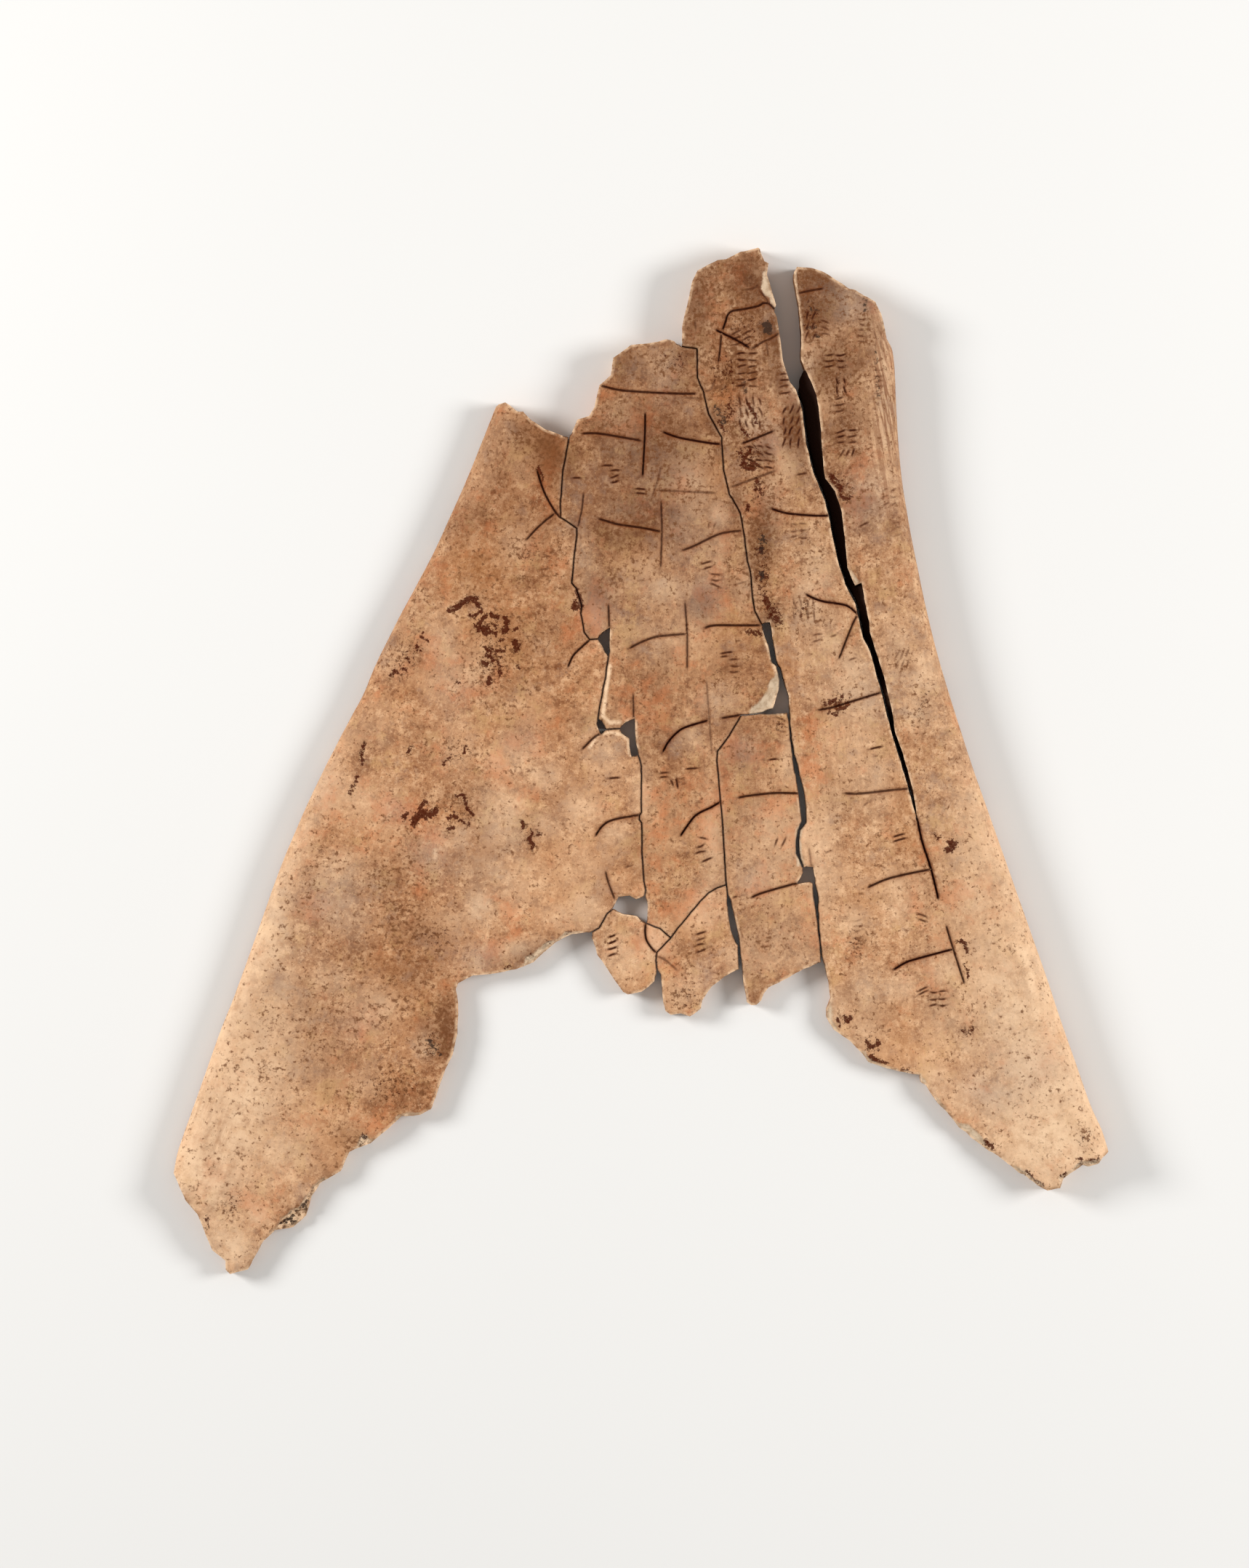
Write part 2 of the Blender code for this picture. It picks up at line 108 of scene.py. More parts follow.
# Divination cracks and fine splits: darkness, then the line
CRACKS: list[tuple[float, list[Point]]] = [
    (0.9, [(-9.3, 87.8), (-5.2, 86.8), (0.2, 86.3), (8.9, 85.9), (13, 85.9)]),
    (0.4, [(10.6, 84.9), (14.3, 84.7)]),
    (0.9, [(-13.9, 76.6), (-9.8, 76.6), (-3.1, 75.5), (0.2, 74.9)]),
    (0.9, [(1.1, 81.4), (1, 76), (0.5, 66.7)]),
    (1, [(5.2, 77), (7.2, 76.2), (10.1, 75.4), (15.9, 74.4), (18.8, 74.1)]),
    (0.5, [(4.3, 63.3), (8.9, 63.1), (17.6, 62.7)]),
    (0.35, [(4.8, 68.9), (3.9, 65.2), (2.7, 61.9)]), (0.6, [(4.8, 60.8), (5, 54), (4.7, 45.3)]),
    (0.9, [(-9.8, 56.7), (-7.7, 56.1), (-5.2, 55.4), (0.2, 54.6), (4.8, 53.7)]),
    (0.8, [(9.7, 49.3), (12.4, 50.3), (17.8, 52.9), (20.7, 53.6), (23.8, 53.9)]),
    (0.9, [(14.9, 31.2), (17.4, 31.8), (23.2, 31.8), (28.2, 31.8)]),
    (0.8, [(-2.7, 26.4), (-0.2, 27.7), (3.1, 29), (5.6, 29.4), (10.6, 29.8)]),
    (0.6, [(10.4, 37.2), (10.9, 29.8), (10.9, 21.7)]),
    (0.4, [(15.5, 18.8), (15.8, 13.8), (16.1, 10), (16.7, 1.8)]),
    (1, [(5.2, 2.2), (6.6, 4.7), (8.7, 6.9), (10.8, 8.1), (15.8, 9.6)]),
    (0.9, [(23.6, 10.9), (18.9, 10.1)]),
    (1, [(9.3, -17.5), (12, -13.6), (13.7, -12.1), (16.6, -10.7), (18.8, -9.4)]),
    (0.6, [(-13.3, 62.7), (-13.7, 59), (-14.6, 54.8)]), (0.7, [(-7.5, 36.8), (-7.3, 31)]),
    (0.6, [(-1.7, 15.9), (-1.6, 9.7)]),
    (0.9, [(31.9, 104.4), (31.3, 105.6), (30, 106.9), (28.6, 107), (27.6, 106.4), (24.5, 105.7),
        (21.5, 105.2), (20.4, 104.3), (19.9, 102.8), (19.2, 100.8)]),
    (0.7, [(18.9, 99.9), (18.7, 97.5), (18.2, 93.2)]),
    (0.4, [(17.4, 89.4), (16.9, 87.8), (16.3, 86.8), (15, 86.4)]),
    (0.6, [(27.8, 110), (28.8, 108.9), (29.9, 107.2)]),
    (0.5, [(24.3, 110.1), (26.5, 110.5), (27.5, 111.4)]),
    (1.1, [(17.6, 100.8), (19.2, 100), (21.5, 98.9), (23.5, 97.8), (25.5, 96.6)]),
    (0.7, [(25.9, 96.3), (27.5, 97.3), (28.6, 98), (30.2, 98.6), (32.4, 100)]),
    (0.4, [(29.4, 98), (29.6, 96.2), (29.9, 94.6)]), (0.4, [(12.7, 103), (12.9, 100.6)]),
    (0.9, [(23.7, 74.3), (25.7, 75), (31.1, 77.2)]),
    (0.6, [(21.2, 64.1), (24.8, 65.4), (31.5, 67.9)]),
    (1, [(30.5, 59.1), (32.3, 58.5), (34.8, 57.9), (40.6, 57.4), (44.1, 57.4)]),
    (1, [(38.6, 39.1), (40.6, 38.1), (43.1, 37.3), (48.1, 36.4), (50.8, 34.3)]),
    (0.8, [(50.6, 34.1), (49.3, 31.4), (46.4, 24)]),
    (0.9, [(41.5, 12), (44.8, 12.6), (48.1, 13.6), (56.5, 16.2)]),
    (0.8, [(47.7, -7.5), (51.8, -7.5), (58.9, -6.7), (62.7, -6.4)]),
    (0.9, [(53.2, -29.5), (56.8, -27.9), (60.4, -26.8), (67.9, -25.2)]),
    (1.2, [(64.6, -13), (65.9, -18.8), (67.9, -25), (69.7, -32.2)]),
    (0.8, [(71.5, -38.4), (73.1, -43.6), (75.8, -52)]),
    (1, [(59.2, -48.8), (62.1, -47.1), (64.8, -46.2), (73.1, -43.9)]),
    (0.4, [(39.4, -20.2), (40.1, -24.8)]), (0.8, [(36.9, 109.3), (39.1, 109.8), (42.7, 110.4)]),
    (0.3, [(50.2, 46), (51.4, 41.4)]),
    (0.9, [(22.8, -8.5), (25.7, -8), (31.5, -7.4), (37.1, -7.5)]),
    (0.9, [(25.9, -31.9), (28.2, -30.9), (34, -29.2), (37.3, -28.4)]),
    (0.9, [(-24.2, 68), (-23, 64.2), (-21.8, 61.5), (-20.1, 58.6), (-18.8, 57)]),
    (0.8, [(-20.1, 57.9), (-22.2, 56.3), (-24.3, 54.4), (-26.8, 51.7)]),
    (0.9, [(-17, 22.1), (-15.7, 24.8), (-13.5, 27), (-11.9, 28.4)]),
    (0.8, [(-13.7, 2.8), (-11, 5.5), (-9.2, 6.6)]),
    (0.9, [(-10.6, -17.5), (-9, -15.2), (-6.5, -13.7), (-0.2, -12.5)]),
    (0.7, [(-8.2, -25.8), (-7.5, -28.3), (-6, -32.4)]),
    (0.9, [(1.2, -37.9), (1.1, -39.8), (1.4, -41.8), (2.6, -43.7), (3.7, -44.8)]),
    (0.5, [(3.9, -45.6), (5.9, -46.6), (8.6, -48.9)]),
]

# Single shallow dashes beside the cracks: darkness, then both ends
DASHES: list[tuple[float, Point, Point]] = [
    (0.9, (-8.9, 69.1), (-6.4, 69.1)), (0.9, (-16, 66.2), (-13.8, 66.2)),
    (0.9, (-1.3, 63.7), (1.3, 63.5)), (0.9, (-1.2, 62.7), (1.3, 62.5)),
    (0.8, (14, 46), (16.6, 46.8)), (0.8, (14.7, 44.9), (16.8, 45.6)),
    (0.4, (22, 41.2), (24.7, 42)), (0.9, (18.7, 25.2), (21.6, 25.6)),
    (0.8, (18.7, 24.4), (20.5, 24.6)), (0.8, (4.4, -2.8), (6.6, -2.6)),
    (0.8, (4.4, -3.8), (6.4, -3.6)), (0.9, (10.6, -1.8), (13.5, -1.6)),
    (0.8, (13.7, -17.8), (15.6, -18.2)), (0.9, (14.3, -23.6), (16.8, -22.5)),
    (0.9, (-7.5, -4), (-4.8, -3.8)), (0.9, (29.9, 0.3), (32.1, 0.6)),
    (0.7, (21.6, -31.9), (22.8, -31.6)), (0.8, (36.5, 66.9), (38.8, 67.3)),
    (0.6, (48.7, 23.6), (50.4, 24.2)), (0.9, (53.5, 2.8), (56.6, 3.5)),
    (0.9, (59.1, -17.7), (61.8, -16.9)), (0.9, (59.1, -18.8), (62.2, -17.9)),
    (0.8, (65, -53.9), (67.3, -52.7)), (0.8, (65, -54.7), (67.4, -53.6)),
    (0.7, (51, 54.7), (53.2, 55.8)), (0.4, (52, -10.6), (53.5, -9.4)),
]

# Down the middle of the long open crack, where broken bone sticks out below the face
OPEN_CRACK: list[Point] = [
    (35.4, 91.8), (37.4, 88), (39, 84), (40, 79), (40.9, 72), (42, 66.5), (44.2, 61.5), (45.7, 56),
    (46.6, 49), (48, 43), (50.6, 38), (52.2, 31), (54.8, 24), (57.3, 16), (59, 8.4), (61.2, 0.8),
    (63.2, -6.4), (64.6, -13.2),
]

# Places of the cut rows: darkness, then left, low, right, high
ROWS: list[tuple[float, float, float, float, float]] = [
    (1, -7.6, 64.7, -4.3, 68.7), (0.6, 15.1, 54.4, 18.2, 55.8), (0.9, 16.2, 40.6, 18.9, 44.4),
    (0.9, 20.5, 20.2, 23.4, 24.4), (1, 6.8, -6.8, 9.3, -3.2), (1, 12.8, -22.1, 15.4, -18.9),
    (0.5, -4, -25.4, -1.3, -24), (0.5, -28.7, 46.8, -25.3, 49), (0.5, -23.7, 47.4, -20.2, 49.2),
    (0.5, -24, 42.5, -20.6, 46), (0.3, -34.2, 68.5, -31.3, 73.5), (1, -8.1, -46, -5, -40),
    (0.9, 12.5, -45, 15.7, -39.6), (0.8, 31.1, -20.4, 34.4, -17.5), (0.6, 31.5, 6.6, 34.2, 10.7),
    (1, 22.3, 87, 27.4, 96), (0.9, 22.6, 77.6, 28.6, 85.6), (0.8, 21, 96.8, 26.4, 101),
    (0.9, 32.2, 85.4, 35.1, 91.2), (1, 32.8, 73.4, 37.6, 83.4), (0.9, 24.6, 68, 31, 74.2),
    (0.6, 34.8, 51.6, 39, 56.4), (0.5, 35.2, 33, 41.2, 38.4), (0.6, 40, 27.6, 42.7, 30.3),
    (0.6, 44.3, 28.4, 46.2, 30.3), (0.9, 38.2, 98.2, 41.2, 105.2), (0.7, 41.4, 99, 44.7, 103.2),
    (1, 42.7, 91.4, 48.2, 95.6), (1, 45, 85.6, 48.6, 89.8), (0.9, 44.9, 81.2, 48, 85.4),
    (1, 45.4, 73.8, 50.8, 77.8), (0.9, 46.3, 70.8, 50.3, 73.2), (0.6, 50.6, 97.2, 52.4, 103.8),
    (0.4, 54.2, 84, 57, 92), (0.4, 54, 95.6, 57.2, 100.6), (0.5, 56.2, 59.2, 60, 64.2),
    (0.4, 58.6, 52.2, 61, 56.4), (0.5, 59.2, 21.5, 63, 26.4), (0.9, 64.3, -38, 67.7, -35.3),
    (1, 67.5, -58, 71.7, -53), (0.4, 75.3, -64.5, 78.2, -61.4), (0.5, 43.5, -22.2, 44.8, -20.2),
    (0.35, 49.6, -46, 52.1, -36.5), (0.35, -4, 12, -1.6, 15),
]


class Stain(Enum):
    """What a patch on the face is: a stain, or painted light and shade (SHADE, and PALE in part).
    The value is its attribute's name.
    """

    CRUST = "crust"
    DIRT = "dirt"
    SOOT = "soot"
    PALE = "pale"
    OCHRE = "ochre"
    SHADE = "shade"
    STREAK = "streak"
    FILM = "film"


# Narrow smears of each kind: half width, strength, then the line
SMEARS: dict[Stain, list[tuple[float, float, list[Point]]]] = {}
SMEARS[Stain.CRUST] = [
    (0.75, 1.1, [(-44.7, 35.3), (-42.8, 36), (-41.3, 37.3), (-40, 38.1), (-38.6, 38.1)]),
    (0.6, 1.1, [(-38.9, 37.4), (-37.6, 36.3)]),
    (0.5, 1.1, [(-39.9, 34.2), (-38.9, 33.7), (-38, 34.8), (-37.2, 35.1)]),
    (0.6, 1.1, [(-37.5, 32.3), (-36.9, 33.5), (-36, 34.2)]),
    (1, 1.1, [(-38.4, 31.7), (-37.6, 31.1), (-36, 31.1)]),
    (0.5, 1.1, [(-36.3, 29.7), (-35.2, 30.3), (-33.8, 29.9)]),
    (0.6, 1.1, [(-35, 34.4), (-34.2, 34), (-33.5, 33.6)]), (0.4, 1, [(-34, 31.7), (-33.8, 31.2)]),
    (0.8, 1.1, [(-31.5, 33.6), (-31.2, 32.4), (-31.3, 31.2), (-31.9, 30.2)]),
    (0.95, 1.1, [(-29.5, 27.9), (-29, 27.2), (-29, 26.4)]),
    (0.4, 1, [(-28.9, 31.3), (-29.6, 30.7)]),
    (0.55, 1.1, [(-36.4, 26.6), (-35.8, 26), (-35, 26.4)]),
    (0.4, 1, [(-34.5, 26.2), (-33.2, 25.9), (-31.8, 25.8)]),
    (0.45, 0.8, [(-33.2, 28.3), (-32, 28.6)]), (0.6, 1.1, [(-36, 25), (-35, 24.4), (-34.4, 23.7)]),
    (0.65, 1.1, [(-36.8, 23.3), (-36, 22.8)]),
    (0.45, 1, [(-33.3, 23.5), (-33, 22.2), (-32.6, 21), (-32.9, 20.4)]),
    (0.65, 1.1, [(-35.4, 19.6), (-35.3, 18.8), (-35.6, 18.2)]),
    (0.45, 0.9, [(-28.8, 22.3), (-28.4, 21.8)]), (0.45, 0.9, [(-42.8, 18.5), (-42.4, 18.3)]),
    (0.45, 0.9, [(-50.8, 29.9), (-51.2, 29.3), (-50.5, 28.4), (-49.6, 28.3)]),
    (0.65, 0.8, [(-52.4, 26.9), (-51.6, 26.1)]), (0.65, 0.8, [(-54.7, 24.3), (-54, 23.3)]),
    (0.75, 0.8, [(-55.6, 21.8), (-54.8, 21.4)]),
    (0.5, 0.9, [(-58.4, 20.1), (-57.4, 21.3), (-56.3, 20.3)]),
    (0.6, 1.1, [(-55.2, -13.4), (-55.3, -12.7), (-54.6, -12.2)]),
    (0.95, 1.1, [(-53, -14.6), (-52.8, -13.4), (-51.6, -12.2), (-50.4, -11.8), (-49.2, -12.5),
        (-47.9, -11.5)]),
    (0.7, 1.1, [(-51.6, -12.3), (-50.2, -13.2)]),
    (0.55, 1.1, [(-51.6, -11), (-51.2, -10.1), (-50.2, -9.4)]),
    (0.45, 1.1, [(-43.2, -8.1), (-41.6, -7.8), (-41, -9.2), (-40.5, -11), (-39.3, -12.4)]),
    (0.6, 0.8, [(-45.2, -13.5), (-43.6, -12.4), (-43, -13.4), (-41.8, -14.1), (-40.4, -14.6)]),
    (0.6, 0.9, [(-44.7, -15.7), (-44.1, -15.6)]), (0.4, 0.8, [(-41, 3.4), (-41.3, 2)]),
    (0.4, 0.7, [(-46.2, -1), (-45.4, 0.5), (-43.6, 1.2)]),
    (0.5, 1.1, [(-27.8, -13.9), (-27.4, -14.6), (-27.6, -15.6)]),
    (0.52, 1.1, [(-25.4, -16.8), (-26.1, -18.2), (-25.6, -18.9), (-25, -19.6), (-25.5, -20.7)]),
    (0.45, 1, [(-24, -17.1), (-23.4, -17)]), (0.5, 0.9, [(-53.6, 3.6), (-54.4, 2)]),
    (0.55, 0.9, [(-64.5, 4.2), (-65.2, 1.6), (-65, -0.4)]),
    (0.6, 0.8, [(-66.2, -3.6), (-66.8, -5.4), (-68, -7.2)]),
    (0.6, 0.9, [(-24, 68.6), (-23.4, 67), (-23.1, 65.8)]),
    (0.6, 1.1, [(-14.9, 40), (-14.2, 38), (-13.8, 36.6), (-14.8, 35.8), (-15.8, 35.9),
        (-15.2, 37.4)]),
    (1.3, 0.9, [(24.2, 69.4), (25.4, 68.8), (26.6, 69.2)]),
    (0.6, 0.9, [(23, 72.2), (24.4, 71), (25.6, 72.6)]),
    (0.45, 0.9, [(18.2, 79.4), (18.9, 78.4), (19.6, 77.2)]),
    (0.45, 0.8, [(20.6, 83.4), (21.4, 82.2), (21, 80.8)]),
    (0.5, 0.9, [(25.2, 83.6), (25.8, 82), (26.8, 81.2), (27, 79)]),
    (0.5, 0.8, [(23.8, 77.6), (24.4, 76.8), (25, 76.2)]),
    (0.9, 0.8, [(27.4, 65.4), (27.4, 63.6), (28.2, 62.8)]),
    (0.6, 0.8, [(25.2, 60.2), (25.1, 58.6)]), (0.8, 1, [(29, 38.6), (29.8, 37.2), (30.2, 35.8)]),
    (0.8, 0.9, [(30.6, 34.2), (32.6, 32.8)]), (0.6, 0.9, [(25, 30.2), (26.6, 30.4), (28.2, 29.6)]),
    (0.7, 0.9, [(43.2, 13.4), (45.4, 14.2), (46.4, 12), (48.6, 13.6)]),
    (0.6, 0.8, [(44.2, 11.4), (46, 10.8), (47.2, 15.6)]),
    (0.8, 0.9, [(44.6, 66.6), (45.8, 64.8), (46.8, 63.6)]),
    (0.7, 0.8, [(46.6, 62.2), (48, 61), (49, 61.6)]),
    (1, 1.1, [(71.9, -20.6), (73.2, -19.6), (72.4, -18.9)]),
    (0.4, 0.8, [(68.8, -17), (69.4, -18.2), (70.2, -17.4)]),
    (0.6, 0.9, [(74, -42.2), (75.4, -42), (76, -43.6), (76.2, -44.4)]),
    (0.45, 0.8, [(75.6, -47.4), (76.4, -48.8), (76.6, -50.6)]),
    (0.7, 1, [(47.8, -60), (48.4, -60.8), (49.2, -60.1)]),
    (0.5, 0.8, [(46.2, -60.2), (46.6, -61.9)]),
    (0.6, 1, [(52.9, -65.4), (53.6, -66.7), (54.6, -66.8), (55.9, -65.8)]),
    (0.8, 1.1, [(53.9, -69.3), (54.8, -69.8)]), (0.5, 0.7, [(56, -70.2), (57.8, -70.8)]),
    (0.7, 1, [(61.6, -72.3), (62.6, -72.6), (63.2, -73.4)]),
    (0.6, 0.7, [(75.4, -62.8), (76.6, -64), (77.8, -62.4)]),
    (0.9, 1, [(80.8, -89.2), (82.2, -90.2)]), (0.8, 1.1, [(90.2, -96.2), (91.2, -97.2)]),
    (0.9, 1.1, [(91.8, -98.2), (93.6, -99.2)]), (0.5, 0.8, [(98.4, -96.9), (99.4, -96.2)]),
    (0.6, 1, [(102.6, -92.8), (103, -94)]), (0.7, 1, [(104.8, -93.4), (106.8, -92.9)]),
    (0.8, 1, [(-65.6, -89.6), (-64.8, -87.8)]), (0.7, 0.6, [(-101.6, -106.4), (-101.4, -109)]),
    (0.55, 0.9, [(-22.2, -42.9), (-21.4, -42.4)]), (0.6, 0.9, [(-26.4, -46), (-25.4, -45.4)]),
    (0.6, 0.8, [(-31.4, -48.2), (-30.4, -48)]), (0.5, 0.8, [(-17.4, -40.2), (-16.6, -40)]),
    (1.3, 0.62, [(27.6, 49.8), (28.6, 48.9)]), (1.3, 0.66, [(28.2, 43.9), (29.2, 43.2)]),
    (1, 0.66, [(29.2, 38.6), (29.8, 36.4)]), (1.6, 0.62, [(31, 35.2), (32.2, 32.8)]),
    (0.9, 0.7, [(25.6, 30.1), (27.8, 29.8)]),
]
SMEARS[Stain.SOOT] = [
    (1.05, 1.4, [(29.5, 101.9), (29.8, 100.7)]), (1.1, 0.75, [(28.6, 52), (28.4, 49.6)]),
    (0.8, 0.8, [(28.6, 44.2), (28.4, 42.8)]), (0.6, 0.7, [(40, 105.6), (41.2, 105)]),
    (0.6, 0.9, [(39, 101.2), (40.6, 101.3)]), (0.5, 0.7, [(40.2, 99.2), (41.4, 99.3)]),
    (0.6, 0.7, [(52.4, 107.6), (52.6, 105)]),
    (0.6, 0.5, [(54.8, 95.6), (55.3, 89.6), (55.4, 84.4)]),
    (0.5, 0.8, [(56.7, 103), (57.2, 100.8)]), (0.9, 0.7, [(17.6, 82.6), (18.6, 81), (19.4, 79)]),
    (0.6, 0.7, [(24, 88.4), (24.6, 86.2)]),
    (1.1, 0.8, [(-49.4, -65.6), (-48.2, -67.4), (-47.6, -68.2)]),
]
SMEARS[Stain.OCHRE] = [
    (0.5, 1.2, [(-108.2, -96.4), (-106.6, -90.6), (-104.2, -84.6)]),
]
# Pale smears: cream along break edges and the lower right border, partly paler bone and partly
# painted highlight
SMEARS[Stain.PALE] = [
    (1.5, 0.85, [(88.9, -43.6), (90.6, -49), (91.8, -54.6), (92.7, -60)]),
    (0.6, 0.7, [(-48, -20.8), (-48.1, -22.4)]),
    (0.5, 1.3, [(-7.2, 22.4), (-8, 17.4), (-8.5, 13), (-8.8, 10.6), (-7.2, 9.1), (-4.9, 9.2)]),
    (0.42, 1.2, [(-12, 3.2), (-10.2, 5.9), (-7.4, 6.8), (-4.4, 6.4), (-2.8, 5), (-2.6, 2)]),
    (0.4, 1.2, [(29.5, 27.5), (30.9, 23.5), (31.9, 20.5)]),
    (0.7, 1.2, [(33.4, 91.4), (35, 88.6), (36, 86.6)]),
]

# Patches of each kind: middle, half width, half height, strength, and any turn in degrees
PATCHES: dict[Stain, list[tuple[float, ...]]] = {}
PATCHES[Stain.CRUST] = [
    (-34.6, 24.6, 4.2, 7.6, 0.36, -10), (-34.6, 32.4, 4, 3.6, 0.42), (-55, 24, 3, 6.6, 0.36, -30),
    (-43.4, 2.6, 4.4, 3.6, 0.3), (-43, -12.6, 4.2, 3.2, 0.36), (-51.6, -12.6, 3.6, 2.4, 0.32),
    (25.6, 71.6, 3.2, 4.6, 0.46), (20.6, 81.6, 3, 4, 0.4), (27.4, 63.4, 2, 4, 0.4, -10),
    (28.4, 46, 2.2, 12, 0.34), (30.4, 35.4, 2.6, 3.6, 0.42, 20), (46, 13.4, 4.4, 2.8, 0.4, 20),
    (46.8, 63.8, 3, 3.6, 0.4, 25), (32.6, 8.8, 1.8, 2.2, 0.42), (39.8, 104, 2.6, 4.2, 0.36),
    (38.2, 35.8, 3.2, 2.8, 0.34), (-95.6, -103.8, 3.6, 3, 0.3), (-58, -76, 9, 6, 0.26, 20),
    (-49, -66, 2, 3, 0.45), (-26, 47.8, 3.6, 2.2, 0.3), (-48, -41, 5, 4, 0.26),
    (-26, -17.6, 3, 3.6, 0.28), (54, -66.6, 3, 3.4, 0.3), (50, -43.4, 2.4, 4.4, 0.3),
    (24, 101, 5, 6, 0.27), (47, 88, 2.6, 9, 0.27), (8, 93.6, 5, 2.6, 0.3), (11, -55, 4, 4, 0.24),
    (104, -88, 3, 3, 0.27), (66, 14, 2, 6, 0.27, -12), (19.6, 91, 3.6, 5.6, 0.36),
]
PATCHES[Stain.DIRT] = [
    (-72, -27, 8, 9, 0.2, -20), (-56, -28, 9, 7, 0.6, 10), (-55, -38, 9, 8, 0.8, 10),
    (-66, -46, 12, 9, 0.28, 40), (-46, -64, 5, 9, 0.8), (-57, -77, 10, 7, 0.5, 20),
    (-76, -62, 9, 8, 0.55, 30), (-78, -33, 6, 8, 0.25, -20), (-96, -103, 4, 4, 0.4),
    (-60, -56, 9, 9, 0.45), (-56, 24, 4, 7, 0.45, -25), (-34, 26, 8, 11, 0.65),
    (-44, -11, 9, 4, 0.45), (-30, 48, 8, 6, 0.4, 10), (-42, 3, 6, 3, 0.35), (-26, -18, 3, 4, 0.45),
    (3, 70, 14, 13, 0.4), (-2, 52, 11, 10, 0.45), (6, 93, 7, 4, 0.55), (21, 98, 10, 16, 0.7),
    (24, 77, 7, 12, 0.78), (28, 54, 4, 16, 0.9, -8), (40, 102, 3.4, 8, 0.85), (48, 88, 7, 18, 0.5),
    (29.6, 100.6, 2, 2.6, 1), (35.2, 77.6, 2.6, 4.4, 0.8), (11, -45, 5, 4, 0.6),
    (10, -56, 4, 4, 0.6), (30, -40, 8, 7, 0.4), (38, 35, 4, 4, 0.55), (46, 14, 5, 3, 0.45, 20),
    (61, 24, 3, 3, 0.5), (66, 12, 2, 5, 0.65, -15), (104, -87, 2.6, 3, 0.6, 20),
    (76, -63, 3, 2, 0.4), (52, -42, 3, 6, 0.5), (-32, -20.6, 2.4, 1.6, 0.7),
    (-86, -72, 8, 12, 0.3, 30), (64, -27, 7, 5, 0.3), (46.8, 63.8, 3, 4, 0.8, 20),
    # This row's patches carry the painted shade further at the top of the open crack and the right
    # wing's top edge, past the shade's own limit
    (33, 98, 3, 6, 0.9), (38, 100, 3, 4, 0.8), (41, 113, 5, 3, 0.8), (45, 90, 4, 5, 0.8),
    (-24, 75, 8, 6, 0.55), (-68, -88, 5, 4, 0.5), (20, 91, 4, 7, 0.95),
]
